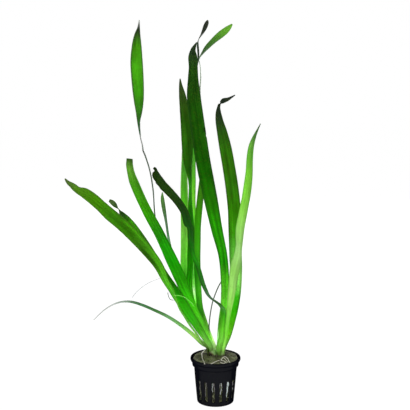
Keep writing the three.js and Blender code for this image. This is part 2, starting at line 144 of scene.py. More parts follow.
# The second shader is for the camera's own rays, the first for all others.
def splitForCamera(tree, others, camera):
    ray = addNode(tree, "ShaderNodeLightPath").outputs["Is Camera Ray"]
    return mixShaders(tree, ray, others, camera)


def newMaterial(name):
    material = bpy.data.materials.new(name)
    material.use_nodes = True
    material.node_tree.nodes.clear()
    return material, material.node_tree


def finishMaterial(tree, shader):
    addNode(tree, "ShaderNodeOutputMaterial", {"Surface": shader})


# Plant skin that lets a share of the light through.
def finishFlesh(tree, through, skin, glow):
    outer = addNode(tree, "ShaderNodeBsdfPrincipled", skin).outputs[0]
    inner = addNode(tree, "ShaderNodeBsdfTranslucent", glow).outputs[0]
    finishMaterial(tree, mixShaders(tree, through, outer, inner))


def newPiece(name, bm, materials, slot=None, replaced=()):
    mesh = bpy.data.meshes.new(name)
    for face in bm.faces:
        face.smooth = True
    bm.to_mesh(mesh)
    bm.free()
    for material in materials:
        mesh.materials.append(material)
    piece = bpy.data.objects.new(name, mesh)
    scene.collection.objects.link(piece)
    if slot:
        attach(piece, "root")
    if replaced:
        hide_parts(*replaced)
    return piece


# The view, the light and the floor.

view = {
    "pitch": 8.0,  # degrees that the camera looks down
    "distance": 900.0,
    "across": -11.5,  # the middle of the picture, from the rim's centre
    "up": 167.0,
    "lens": 71.84,
}
rimCentre = Vector((0, 0, 50))
acrossAxis = Vector((1, 0, 0))
pitch = math.radians(view["pitch"])
upAxis = Vector((0, math.sin(pitch), math.cos(pitch)))
backAxis = Vector((0, -math.cos(pitch), math.sin(pitch)))
viewpoint = rimCentre + acrossAxis * view["across"] + upAxis * view["up"] + backAxis * view["distance"]

camera = bpy.data.objects.new("camera", bpy.data.cameras.new("camera"))
camera.data.lens = view["lens"]
camera.data.sensor_width = 36
camera.data.clip_start = 0.01
camera.location = viewpoint * mm
camera.rotation_euler = (math.radians(90 - view["pitch"]), 0, 0)
scene.collection.objects.link(camera)
scene.camera = camera

studio = {  # in metres and watts
    "ambience": 0.5,
    "backdrop": 1.0,
    "floor": "fafafa",
    "floorRadius": 7,
    "floorGlow": 0.5,
    "whiteness": 0.93,  # how far the camera sees the floor as plain white
    "softboxes": {
        "back_softbox": {"place": (0.25, 1.5, 0.75), "target": 0.22, "size": (1.6, 1.3), "power": 30},
        "front_softbox": {"place": (-0.75, -1.15, 0.95), "target": 0.16, "size": (0.8, 0.9), "power": 13},
        "side_softbox": {"place": (1.2, -0.35, 0.7), "target": 0.15, "size": (0.5, 0.9), "power": 4},
    },
}
for name, box in studio["softboxes"].items():
    lamp = bpy.data.lights.new(name, "AREA")
    lamp.shape = "RECTANGLE"
    lamp.size, lamp.size_y = box["size"]
    lamp.energy = box["power"]
    softbox = bpy.data.objects.new(name, lamp)
    softbox.location = box["place"]
    aim = Vector((0, 0, box["target"])) - Vector(box["place"])
    softbox.rotation_euler = aim.to_track_quat("-Z", "Y").to_euler()
    softbox.visible_camera = False
    scene.collection.objects.link(softbox)

# The studio is white to the camera and dimmer as light, so that the leaves keep their depth.
world = bpy.data.worlds.new("studio")
world.use_nodes = True
scene.world = world
tree = world.node_tree
tree.nodes.clear()
dim, bright = [
    addNode(tree, "ShaderNodeBackground", {"Color": tint("ffffff"), "Strength": studio[part]}).outputs[0]
    for part in ("ambience", "backdrop")
]
addNode(tree, "ShaderNodeOutputWorld", {"Surface": splitForCamera(tree, dim, bright)})

# To the camera the floor is about as white as the studio behind it, with a little shadow left.
floorPaper, tree = newMaterial("white_paper_floor")
paper = addNode(tree, "ShaderNodeBsdfPrincipled", {
    "Base Color": tint(studio["floor"]), "Roughness": 0.7,
    "Emission Color": tint("ffffff"), "Emission Strength": studio["floorGlow"],
}).outputs[0]
plain = addNode(tree, "ShaderNodeEmission", {"Color": tint("ffffff"), "Strength": 1.0}).outputs[0]
whitened = mixShaders(tree, studio["whiteness"], paper, plain)
finishMaterial(tree, splitForCamera(tree, paper, whitened))
bm = bmesh.new()
bmesh.ops.create_circle(bm, cap_ends=True, radius=studio["floorRadius"], segments=64)
newPiece("floor", bm, [floorPaper])
print("camera, light and floor ready")


# What shows in every blade: veins along it, rungs between them, margins, long bands, a soft mottle
# and small spots. Blade holds the share across in X and the metres from the base in Y.
def makeVeinGroup():
    tree = bpy.data.node_groups.new("blade_veins", "ShaderNodeTree")
    tree.interface.new_socket("Blade", in_out="INPUT", socket_type="NodeSocketVector")
    for label, value in {"Length": 0.3, "Veins": 7.0, "Rungs": 370.0, "Seed": 0.0}.items():
        socket = tree.interface.new_socket(label, in_out="INPUT", socket_type="NodeSocketFloat")
        socket.default_value = value
    given = tree.nodes.new("NodeGroupInput").outputs
    place = splitVector(tree, given["Blade"])
    across, metres = place["X"], place["Y"]
    seedSlice = times(tree, given["Seed"], 3.7)  # each seed cuts the noise at another height

    def patches(acrossScale, alongScale, detail):
        stretched = addNode(tree, "ShaderNodeCombineXYZ", {
            "X": times(tree, across, acrossScale), "Y": times(tree, metres, alongScale), "Z": seedSlice,
        }).outputs[0]
        return addNoise(tree, stretched, 1.0, detail)

    def stripes(value, half, strength):
        off = offFrom(tree, calculate(tree, "FRACT", value), 0.5)
        return remap(tree, off, half, 0.0, 0.0, strength, smooth=True)

    soft, fine = patches(3.0, 55.0, 4.0), patches(34.0, 90.0, 3.0)
    offMiddle = offFrom(tree, across, 0.5)
    vein = plus(tree, times(tree, across, given["Veins"]), times(tree, soft, 0.35))
    step = times(tree, calculate(tree, "FLOOR", vein), 0.37)  # the rungs don't line up across a vein
    rung = plus(tree, times(tree, metres, given["Rungs"]), step, times(tree, fine, 1.1))
    lines = calculate(tree, "MAXIMUM", stripes(vein, 0.1, 1.0), stripes(rung, 0.17, 0.7))
    values = {
        "Along": calculate(tree, "DIVIDE", metres, given["Length"], clamp=True),
        "Side": calculate(tree, "MULTIPLY_ADD", across, 2.0, -1.0),
        "Middle": remap(tree, offMiddle, 0.17, 0.02, smooth=True),
        "Margin": remap(tree, offMiddle, 0.3, 0.5, smooth=True),
        "Lines": lines,
        "Mottle": soft,
        "Bands": patches(4.5, 9.0, 2.0),
        "Spots": patches(9.5, 370.0, 2.0),
        "Height": plus(tree, lines, times(tree, fine, 0.6)),
    }
    for label in values:
        tree.interface.new_socket(label, in_out="OUTPUT", socket_type="NodeSocketFloat")
    result = tree.nodes.new("NodeGroupOutput")
    for label, value in values.items():
        tree.links.new(value, result.inputs[label])
    return tree


veinGroup = makeVeinGroup()

tissue = {
    "veins": 7,
    "edge": "2e480c",
    "margin": 0.3,  # how far the margins turn to the edge colour
    "middle": 0.1,  # how much the midrib brightens
    "side": 0.0,  # painted light and shade: how much lighter the right half is painted, and the left half darker
    "lines": 0.12,  # how much the veins and rungs brighten
    "mottle": 0.16,  # how far small patches vary the light
    "bands": 0.2,  # the same for long bands
    "foot": 1.6,  # painted light: how much lighter a blade is painted at its foot, where the crowded leaves shade it
    "shade": 0.86,
    "spots": 0.3,  # how far the brown spots show
    "spotColour": "424a0c",
    # painted shade where a blade folds or twists: share of the length, its half, place across from -1 to 1,
    # its half, depth (a depth below 0 paints light instead)
    "folds": (),
    "soil": "504a2a",
    "soilTop": 0.0095,  # how high above the plug a blade is soiled, in metres
    "soiling": 0.42,
    "through": 0.45,  # share of the light that passes through
    "glow": 1.1,  # how bright that light is
    "roughness": 0.42,
    "shine": 0.02,
    "relief": 0.35,
}


def makeTissue(leaf, length):
    look = {**tissue, **leaf["look"]}
    material, tree = newMaterial(leaf["node"] + "_tissue")
    blade = addNode(tree, "ShaderNodeUVMap", uv_map="blade").outputs[0]
    metres = splitVector(tree, blade)["Y"]
    veins = addNode(tree, "ShaderNodeGroup", {
        "Blade": blade, "Length": length, "Veins": look["veins"], "Seed": leaf["seed"],
    }, node_tree=veinGroup).outputs

    def vary(label):
        amount = look[label.lower()]
        return remap(tree, veins[label], 0.3, 0.7, 1 - amount, 1 + amount)

    # Painted light: each blade is painted lighter towards its foot, standing in for light that the crowded
    # leaves shade off.
    foot = remap(tree, metres, 0.02, 0.1, look["foot"] * look["shade"], look["shade"], smooth=True)
    light = times(tree, vary("Mottle"), vary("Bands"), foot)
    # Painted shade on folds and twists, or painted light where the depth is below 0.
    for where, half, middle, reach, depth in look["folds"]:
        fold = times(tree, bell(tree, veins["Along"], where, half), bell(tree, veins["Side"], middle, reach))
        light = times(tree, light, calculate(tree, "MULTIPLY_ADD", fold, -depth, 1.0))
    # Side paints light on one half of a blade and shade on the other; Middle and Lines brighten the midrib
    # and the veins.
    for label in ("Side", "Middle", "Lines"):
        light = times(tree, light, calculate(tree, "MULTIPLY_ADD", veins[label], look[label.lower()], 1.0))
    colour = brighten(tree, blendTints(tree, veins["Along"], leaf["tints"]), light)
    spots = remap(tree, veins["Spots"], 0.54, 0.68, 0.0, look["spots"], smooth=True)
    edges = times(tree, veins["Margin"], look["margin"])
    soiled = remap(tree, metres, look["soilTop"], 0.003, 0.0, look["soiling"], smooth=True)
    for share, part in ((spots, "spotColour"), (edges, "edge"), (soiled, "soil")):
        colour = mixColour(tree, share, colour, look[part])

    # Light crosses both sides of a blade, so each side passes the square root of the colour.
    passed = addNode(tree, "ShaderNodeGamma", {"Color": colour, "Gamma": 0.5}).outputs[0]
    bump = addBump(tree, veins["Height"], look["relief"], 0.00025)
    rough = remap(tree, veins["Mottle"], 0.3, 0.7, look["roughness"] - 0.06, look["roughness"] + 0.08)
    skin = {"Base Color": colour, "Roughness": rough, "Normal": bump, "Specular IOR Level": look["shine"]}
    finishFlesh(tree, look["through"], skin, {"Color": brighten(tree, passed, look["glow"]), "Normal": bump})
    return material


# The direction from the viewpoint to a place seen across and up, on the plane through the rim.
def sightLine(across, up):
    return rimCentre + acrossAxis * across + upAxis * up - viewpoint


fan = {"spread": 1.35, "start": 45.0, "full": 170.0}  # how the leaves open from front to back


def clamp(value, low=0.0, high=1.0):
    return min(high, max(low, value))


def atDepth(across, up, depth):
    line = sightLine(across, up)
    share = clamp((up - fan["start"]) / (fan["full"] - fan["start"]))
    spread = 1 + (fan["spread"] - 1) * share * share * (3 - 2 * share)
    return viewpoint + line * ((depth * spread - viewpoint.y) / line.y)


# Where a point low on the plant is seen: across, up and its depth.
def seenAt(point):
    line = point - viewpoint
    spot = viewpoint + line * (-view["distance"] / line.dot(backAxis)) - rimCentre
    return spot.x, spot.dot(upAxis), point.y


# Rows of numbers along a smooth curve through the given rows, no further apart than the spacing.
def smoothRows(rows, spacing):
    last = len(rows) - 1
    lengths = [math.hypot(b[0] - a[0], b[1] - a[1]) for a, b in zip(rows, rows[1:])]
    slopes = []
    for i in range(last + 1):
        before, after = max(i - 1, 0), min(i + 1, last)
        span = sum(lengths[before:after])
        slopes.append([(b - a) / span for a, b in zip(rows[before], rows[after])])
    result = [list(rows[0])]
    for i, length in enumerate(lengths):
        steps = max(1, round(length / spacing))
        for j in range(1, steps + 1):
            t = j / steps
            bend = t * t * (3 - 2 * t)
            leave, arrive = t * (1 - t) ** 2 * length, t * t * (t - 1) * length
            result.append([
                a * (1 - bend) + b * bend + leaveSlope * leave + arriveSlope * arrive
                for a, b, leaveSlope, arriveSlope in zip(rows[i], rows[i + 1], slopes[i], slopes[i + 1])
            ])
    return result


blade = {
    "spacing": 2.0,
    "columns": 10,
    "thickness": 0.42,
    "footPlace": 0.62,  # from the stem's middle to the blade's first row
    "footWidth": 0.86,
    "channel": 0.06,  # sag of the middle, as a share of the width
    "sheath": 0.3,  # the same where the base wraps its stem
    "sheathReach": 34.0,
    "wave": 0.56,  # how far the margins ripple
    "waveLength": 26.0,
    "waveFree": (60.0, 9.0),  # distance from the foot and width that it takes to ripple fully
    "ragged": 0.1,
    "raggedRate": 0.22,  # ups and downs of a ragged margin, per millimetre
    "thinnest": 0.15,  # width that is left where a blade ends or is bitten through
    "nicks": (),  # bites out of a side: -1 left or 1 right, distance from the tip, half length, depth
}
stems = {
    "left": {"centre": Vector((-4.5, 4, 0)), "root": 50.5},
    "right": {"centre": Vector((7, 4, 0)), "root": 50.5},
}


# A leaf's points are rows up its blade: place across and up as seen, depth, turn in degrees, width.
# Its tints run from 0 at the foot to 1 at the tip, and hold painted light and shade along the blade
# besides its own colour. Its look replaces entries of tissue, and its other entries those of blade.
def growBlade(leaf):
    form = {**blade, **leaf}
    plan = leaf["points"]
    stem = stems[leaf["stem"]]
    foot = stem["centre"] + (atDepth(*plan[0][:3]) - stem["centre"]) * form["footPlace"]
    foot.z = stem["root"]
    plan = [(*seenAt(foot), plan[0][3], plan[0][4] * form["footWidth"])] + plan
    rows = smoothRows(plan, form["spacing"])
    centres = [atDepth(*row[:3]) for row in rows]
    last = len(rows) - 1
    reach = [0.0]
    for a, b in zip(centres, centres[1:]):
        reach.append(reach[-1] + (b - a).length)
    inward = 1.0 if plan[1][2] > stem["centre"].y else -1.0  # which way a base wraps its stem

    bm = bmesh.new()
    uv = bm.loops.layers.uv.new("blade")
    bmesh.ops.create_grid(bm, x_segments=form["columns"], y_segments=last, size=0.5)
    shares = {}
    for vert in bm.verts:
        i = round((vert.co.y + 0.5) * last)
        across = vert.co.x
        shares[vert] = (across + 0.5, reach[i] * mm)
        turn, fullWidth = math.radians(rows[i][3]), rows[i][4]
        centre = centres[i]
        along = (centres[min(i + 1, last)] - centres[max(i - 1, 0)]).normalized()
        flat = along.cross((viewpoint - centre).normalized()).normalized()
        side = flat * math.cos(turn) + flat.cross(along) * math.sin(turn)
        normal = along.cross(side)

        hand = 1 if across > 0 else -1
        width = fullWidth
        for nickSide, place, half, depth in form["nicks"]:
            if nickSide == hand:
                bite = max(0.0, 1 - abs((reach[-1] - reach[i]) - place) / half)
                width -= 2 * depth * bite * bite * (3 - 2 * bite) * min(1, abs(across) * 2)
        grain = Vector((reach[i] * form["raggedRate"], hand * 9, leaf["seed"]))
        width += form["ragged"] * noise.noise(grain) * 2

        wrap = max(0, 1 - reach[i] / form["sheathReach"]) ** 2
        cup = form["channel"] + (inward * form["sheath"] - form["channel"]) * wrap
        sag = cup * fullWidth * (1 - 4 * across * across)
        ripple = noise.noise(Vector((reach[i] / form["waveLength"], hand * 5 + leaf["seed"], 0)))
        calm = min(1, reach[i] / form["waveFree"][0]) * min(1, fullWidth / form["waveFree"][1])
        wave = form["wave"] * ripple * 4 * across * across * calm
        vert.co = (centre + side * across * max(width, form["thinnest"]) + normal * (sag + wave)) * mm
    for face in bm.faces:
        for loop in face.loops:
            loop[uv].uv = shares[loop.vert]
    bmesh.ops.recalc_face_normals(bm, faces=bm.faces)
    material = makeTissue(leaf, reach[-1] * mm)
    piece = newPiece(leaf["node"] + "_blade", bm, [material], leaf["slot"], [leaf["node"]])
    shell = piece.modifiers.new("thickness", "SOLIDIFY")
    shell.thickness = form["thickness"] * mm
    shell.offset = 0


# The leaves, first the left stem's and then the right stem's.

broadLeftLeaf = {
    "node": "broad_left_leaf", "stem": "left", "slot": "olive_leaf", "seed": 1,
    "points": [
        (-9.8, 9.5, 1.8, 80, 5.6), (-14.4, 15.2, 0.3, 79, 7.4), (-20, 24, -2, 78, 7.6),
        (-27.5, 34, -5.5, 78, 7.8), (-33.5, 43.5, -10, 78, 8.4), (-39.1, 51.7, -12.6, 80, 9),
        (-44.1, 64.4, -16.6, 76, 10), (-48.9, 73.5, -19, 62, 11), (-55.2, 84, -21.6, 54, 11),
        (-62.2, 99.4, -25.6, 20, 10.1), (-74.1, 115.4, -29.4, 4, 11.2), (-94.7, 137.9, -34, 0, 12.5),
        (-107.3, 149.4, -36.4, 0, 12.6), (-116.3, 156.9, -38, 0, 12.6), (-125.2, 165.2, -39.6, 0, 11.3),
        (-134.2, 173.2, -41.4, 0, 11.2), (-143.3, 179.8, -43, 0, 10.3), (-149.3, 182.7, -43.8, 0, 8.2),
        (-154, 185.6, -44.5, 0, 6.8), (-158.2, 189, -45.2, 0, 5.2), (-161.9, 191.6, -45.8, 0, 3.6),
        (-165.6, 195.9, -46.4, 0, 1.2),
    ],
    "tints": [
        (0, "34441e"), (0.1, "6ca842"), (0.2, "54a82c"), (0.3, "62be2e"), (0.34, "4cb220"),
        (0.39, "5cc424"), (0.47, "4ca616"), (0.58, "428c14"), (0.67, "367c08"), (0.77, "38800c"),
        (0.86, "428408"), (0.94, "487816"), (1, "4c6032"),
    ],
    "look": {"edge": "4c7420", "margin": 0.45, "spots": 0.35, "bands": 0.26, "soilTop": 0.02,
             "folds": ((0.53, 0.13, -0.65, 0.7, 0.6), (0.74, 0.035, 0.75, 0.5, 0.35),
                       (0.62, 0.16, 0.85, 0.5, -0.35))},
    "nicks": [(1, 17, 5, 0.8)],
    "channel": 0.1,
    "sheath": 0.14,
}
growBlade(broadLeftLeaf)


twistedTipLeaf = {
    "node": "twisted_tip_leaf", "stem": "left", "slot": "olive_leaf", "seed": 2,
    "points": [
        (-4.8, 9.5, 0, 0, 5), (-11, 20, -1.6, 0, 6.4), (-19, 32, -3.4, 0, 8), (-27.5, 45, -5, 0, 9.6),
        (-36, 58.5, -7, 0, 11), (-45.4, 72.8, -9, 4, 10.6), (-55.8, 89.6, -11.5, 5, 8.3),
        (-66.9, 107.2, -13.5, 5, 9.2), (-81, 126.7, -15.5, 5, 11.6), (-93.1, 143, -17.5, 10, 11.8),
        (-99.4, 152.1, -18.6, 22, 9.4), (-103.7, 158.7, -19.4, 52, 6.4), (-106.5, 162.6, -20, 90, 4),
        (-110, 166.5, -20.5, 130, 6.1), (-113.7, 170, -21, 146, 5.7), (-117, 172, -21.5, 156, 2.9),
    ],
    "tints": [
        (0, "80a05e"), (0.08, "78b44e"), (0.16, "48a41e"), (0.24, "3ab41a"), (0.32, "38b610"),
        (0.4, "26ae0a"), (0.5, "248402"), (0.6, "60ac22"), (0.72, "2a7209"), (0.85, "2c7604"),
        (0.91, "224214"), (0.955, "385428"), (0.975, "54703c"), (1, "4e6a36"),
    ],
    "look": {"edge": "4c7828", "side": -0.18, "margin": 0.42, "bands": 0.28, "soilTop": 0.014,
             "folds": ((0.82, 0.07, 0.8, 0.8, -0.8),)},
}
growBlade(twistedTipLeaf)


cutTipLeaf = {
    "node": "cut_tip_leaf", "stem": "left", "slot": "mid_leaf", "seed": 3,
    "points": [
        (-3.6, 9.5, 1.4, 0, 5.8), (-8, 21, 0.9, 0, 6.2), (-15, 37, 0, 4, 6.2), (-24.6, 56, -1.6, 10, 6.2),
        (-33.4, 73.5, -3.6, 18, 10.4), (-39, 86.7, -5.5, 25, 13.6), (-49.5, 109.8, -9, 32, 13.8),
        (-62.2, 136.2, -13, 36, 12.8), (-76.4, 162.6, -17, 38, 12.3), (-89.4, 191.2, -21, 38, 11.5),
        (-92.9, 202, -22, 35, 8.9), (-94.5, 211, -22.6, 30, 8), (-94.5, 218, -23, 28, 7),
    ],
    "tints": [
        (0, "c8dea8"), (0.05, "bce694"), (0.09, "89e848"), (0.15, "5ab02c"), (0.24, "4ec41a"),
        (0.33, "42cc16"), (0.39, "32ac0e"), (0.5, "20b408"), (0.63, "24900c"), (0.76, "3a9e08"),
        (0.89, "449016"), (0.96, "58902c"), (1, "2e4c1e"),
    ],
    "look": {"side": -0.12, "margin": 0.15, "bands": 0.28, "soilTop": 0.01},
}
growBlade(cutTipLeaf)


halfTwistedLeaf = {
    "node": "half_twisted_leaf", "stem": "left", "slot": "dark_leaf", "seed": 4,
    "points": [
        (-2.6, 9.5, 2.5, 0, 5.8), (-6.5, 21, 2.7, 0, 7), (-14.9, 36, 3, 20, 7.2),
        (-22.6, 50, 3.3, 48, 9.4), (-27.2, 64, 3.5, 52, 10.8), (-29.3, 79, 3.5, 56, 12.4),
        (-28.6, 93, 3.4, 66, 13.2), (-27.5, 110, 3.4, 62, 13.3), (-27.2, 128, 3.6, 61, 13.2),
        (-27.3, 144, 3.8, 62, 12.8), (-28, 160, 4, 70, 12), (-28.8, 175, 4.3, 82, 11.5),
        (-29, 187, 4.4, 92, 11.5), (-28.9, 197, 4.5, 105, 11.5), (-30, 209, 4.7, 130, 11.4),
        (-30.8, 221, 4.9, 150, 12.2), (-30.9, 235, 5.1, 165, 12.5), (-32.1, 254, 5.4, 173, 11.7),
        (-34.2, 273, 5.8, 178, 9.8), (-36.6, 289, 6, 180, 6.6), (-38.3, 299, 6.2, 180, 3.2),
        (-38.9, 306, 6.3, 180, 0.9),
    ],
    "tints": [
        (0, "d0e6b0"), (0.05, "d8f4a4"), (0.11, "62ba2c"), (0.2, "52c018"), (0.26, "40c412"),
        (0.31, "28a604"), (0.37, "208e04"), (0.45, "126204"), (0.55, "167002"), (0.58, "1c8802"),
        (0.62, "249203"), (0.67, "22620a"), (0.84, "28600a"), (0.9, "2c5410"), (0.97, "324620"),
    ],
    "look": {"margin": 0.2, "spots": 0.45, "mottle": 0.22, "bands": 0.34, "lines": 0.38,
             "folds": ((0.8, 0.16, -0.1, 0.2, 0.25),)},
    "channel": 0.22,
}
growBlade(halfTwistedLeaf)


tallRibbonLeaf = {
    "node": "tall_ribbon_leaf", "stem": "left", "slot": "mid_leaf", "seed": 5, "channel": 0.1,
    "points": [
        (-4.6, 9.5, 3.6, 0, 4.6), (-9, 20.5, 4.1, 0, 5.4), (-15.5, 33, 4.9, 8, 6.2),
        (-23, 47, 6.8, 16, 7), (-30.8, 61, 9.2, 32, 7.6), (-38.5, 75, 11, 60, 8), (-46, 89, 12, 80, 8.5),
        (-53.4, 104, 12.4, 88, 8.5), (-60, 120, 12.8, 88, 8.5), (-65, 140, 13.3, 88, 8.5),
        (-67.3, 160, 14.5, 87, 8.5), (-69, 184, 15.8, 86, 8.5), (-72.3, 204, 16.8, 86, 8.5),
        (-77.5, 221, 17.7, 86, 8.8), (-80, 227, 18, 87, 9), (-80.5, 231.5, 18.2, 87, 9.2),
        (-82.9, 242, 18.9, 88, 9.5), (-84.3, 257, 19.6, 76, 10.4), (-84.1, 270, 20.2, 52, 11.4),
        (-84.6, 284, 21, 32, 13), (-85.6, 303, 21.8, 16, 13.6), (-86.8, 325, 22.6, 5, 13.2),
        (-86.6, 343, 23.3, 0, 10.2), (-85.9, 354, 23.8, 0, 6.6), (-84.5, 362, 24, 0, 2.8),
        (-83.8, 370.5, 24.2, 0, 0.8),
    ],
    "tints": [
        (0, "72864a"), (0.04, "96e24e"), (0.09, "58b41e"), (0.17, "6ee238"), (0.22, "4ac428"),
        (0.25, "2e9614"), (0.33, "2c7c1e"), (0.4, "468242"), (0.48, "708076"), (0.6, "68776d"),
        (0.628, "36423c"), (0.643, "b4b6b6"), (0.67, "cccacc"),
        (0.683, "3c6650"), (0.72, "2c601e"), (0.79, "34860e"), (0.87, "429c12"), (0.93, "367c0c"),
        (0.96, "2a471b"), (0.975, "1a2618"), (0.988, "6e726c"), (1, "dcdfda"),
    ],
    "look": {"edge": "3a4a28", "margin": 0.7, "mottle": 0.24},
}
growBlade(tallRibbonLeaf)


paleUprightLeaf = {
    "node": "pale_upright_leaf", "stem": "left", "slot": "light_leaf", "seed": 6,
    "points": [
        (-5.2, 9.5, 4.7, 0, 4.8), (-9.6, 21.5, 5.7, 0, 6), (-15.8, 35, 7.2, 4, 7),
        (-22.5, 49.5, 9.4, 11, 8), (-28, 64, 11.8, 22, 9.4), (-32, 80, 13.8, 36, 10.5),
        (-34, 98, 15.2, 40, 11), (-34, 120, 16, 40, 11), (-33.9, 142, 16.6, 40, 11),
        (-34.1, 166, 17, 40, 11), (-34.5, 190, 17.4, 42, 10), (-34.3, 213, 17.8, 47, 9),
        (-33.8, 234, 18.2, 50, 7.4), (-33.4, 250, 18.6, 60, 3.6), (-33.2, 258, 18.8, 60, 0.9),
    ],
    "tints": [
        (0, "62783a"), (0.07, "8ade3a"), (0.14, "60c026"), (0.22, "5cd02a"), (0.29, "70e636"),
        (0.35, "64e238"), (0.44, "8cfa4c"), (0.55, "84d44c"), (0.6, "60be2c"), (0.65, "5fc826"),
        (0.74, "54ac2a"), (0.83, "44942a"), (0.89, "2c681a"), (0.95, "22540e"), (1, "22520a"),
    ],
    "look": {"edge": "a8d070", "margin": 0.4, "middle": -0.2},
}
growBlade(paleUprightLeaf)


slimBackLeaf = {
    "node": "slim_back_leaf", "stem": "left", "slot": "mid_leaf", "seed": 7,
    "points": [
        (-6, 9.5, 5.8, 0, 4), (-11.2, 21, 7.2, 0, 4.6), (-18.5, 36, 9.8, 8, 5.1),
        (-26.2, 53.5, 13.2, 22, 5.6), (-34, 72, 19.6, 42, 6), (-41.5, 92, 25, 58, 6),
        (-47.1, 111, 29, 66, 6), (-51.4, 130, 32, 66, 5.6), (-54.2, 148, 34.6, 62, 5.4),
        (-57, 164, 36.6, 48, 6.2), (-58.4, 174.5, 37.6, 42, 5), (-58.5, 181, 38.2, 46, 0.9),
    ],
    "tints": [
        (0, "60743e"), (0.09, "6eb236"), (0.18, "38a40c"), (0.28, "5cf230"), (0.39, "b6fa80"),
        (0.45, "50c82c"), (0.5, "2ca810"), (0.61, "4ab220"), (0.68, "4aa03c"), (0.72, "68a46e"),
        (0.74, "548a5a"), (0.82, "567a56"), (0.9, "4c743e"), (1, "5a8c40"),
    ],
    "look": {"margin": 0.15, "mottle": 0.2},
}
growBlade(slimBackLeaf)


bentOverLeaf = {
    "node": "bent_over_leaf", "stem": "left", "slot": "olive_leaf", "seed": 8,
    "points": [
        (-1.9, 9.5, 6.9, 0, 6.4), (-6.4, 19.5, 8.8, 0, 7.8), (-11.8, 33, 11.4, 7, 9),
        (-16.6, 51.5, 14.5, 48, 10.4), (-18.8, 73.5, 17.5, 54, 11.2), (-20, 95.5, 19.5, 53, 11.5),
        (-20.1, 117.5, 21, 51, 11.8), (-19.7, 139.5, 22.3, 53, 12), (-18.2, 161, 23.2, 54, 12),
        (-16.1, 181, 24, 56, 12), (-13.9, 201, 24.6, 59, 12), (-13, 224, 25, 64, 11.8),
        (-13.2, 247, 25, 72, 11.4), (-15.2, 270, 24.6, 81, 11), (-17.2, 291, 24, 87, 10.4),
        (-16.4, 308, 23.3, 89, 9.6), (-17.2, 320, 22.6, 91, 9), (-18.2, 327.5, 22, 94, 8.6),
        (-13.8, 334.6, 21, 106, 8.8), (-9.5, 340.2, 20, 119, 9), (-2.5, 347.4, 18.5, 126, 9.3),
        (5.1, 354, 17, 138, 9.6), (11.1, 358.8, 16, 145, 8.2), (15.6, 363, 15.2, 148, 5),
        (18.4, 366, 14.7, 150, 1.4),
    ],
    "tints": [
        (0, "d0e6b0"), (0.04, "e0ffb0"), (0.08, "74ba3c"), (0.13, "3a8c1c"), (0.19, "50b820"),
        (0.25, "2a9e0e"), (0.31, "48b01a"), (0.37, "42ae10"), (0.43, "40940c"), (0.48, "3c7c10"),
        (0.53, "327009"), (0.6, "3c7618"), (0.66, "607630"), (0.72, "62804c"), (0.79, "8c9e88"),
        (0.858, "9eb69c"), (0.883, "385832"), (0.93, "467a2b"), (0.97, "5e9c2e"), (1, "68a432"),
    ],
    "look": {"edge": "46641e", "margin": 0.35, "spots": 0.1, "mottle": 0.12, "bands": 0.1, "lines": 0.04},
}
growBlade(bentOverLeaf)


paleBackLeaf = {
    "node": "pale_back_leaf", "stem": "left", "slot": "light_leaf", "seed": 9,
    "points": [
        (-3.6, 9.5, 8, 0, 4.8), (-8, 22, 10.6, 0, 6), (-13.8, 39, 14.6, 7, 7), (-18.6, 57, 18.8, 17, 8),
        (-22, 78, 23.8, 34, 9.4), (-23.8, 100, 28.2, 47, 10), (-24, 125, 31.8, 52, 10),
        (-24, 150, 34.2, 54, 10), (-24.8, 173, 36.2, 55, 10), (-24.8, 195, 38, 53, 9.8),
        (-24.3, 214, 39.4, 55, 8.2), (-24.3, 233, 40.7, 58, 5), (-25.2, 246, 41.6, 60, 0.9),
    ],
    "tints": [
        (0, "7c9e54"), (0.07, "9ce852"), (0.14, "529824"), (0.22, "52ba22"), (0.25, "90f058"),
        (0.295, "e8ffd0"), (0.32, "9cf86c"), (0.36, "5cc83a"), (0.38, "6cd848"), (0.45, "68e23c"),
        (0.5, "5aec28"), (0.6, "58c822"), (0.7, "7cd438"), (0.78, "5ebc2a"), (0.87, "4ea02e"),
        (0.95, "42b020"), (1, "286e0e"),
    ],
    "look": {"margin": 0.25},
}
growBlade(paleBackLeaf)


archingSlimLeaf = {
    "node": "arching_slim_leaf", "stem": "left", "slot": "mid_leaf", "seed": 10,
    "points": [
        (-7, 9.6, 9.1, 0, 3.4), (-14.4, 15, 11.6, 10, 5), (-25, 24.6, 15, 26, 4.8),
        (-38, 34.8, 18.8, 30, 4.4), (-52, 44, 23, 38, 4.3), (-66, 50.8, 27, 44, 4.2),
        (-80, 56.8, 31, 44, 4.1), (-92, 60.3, 35, 50, 3.9), (-103, 60.4, 38.5, 58, 3.4),
        (-113, 57.2, 41.5, 62, 2.6), (-123.5, 50.5, 44.5, 60, 1.8), (-134, 40.5, 47, 60, 1.2),
    ],
    "tints": [
        (0, "54602e"), (0.08, "5a8438"), (0.17, "7ca84e"), (0.27, "5e9248"), (0.38, "5c8956"),
        (0.48, "3c6c34"), (0.58, "46784a"), (0.66, "527852"), (0.74, "9aa89c"), (0.82, "c0c4c0"),
        (1, "d4d6d4"),
    ],
    "look": {"margin": 0.1, "spots": 0.1},
}
growBlade(archingSlimLeaf)


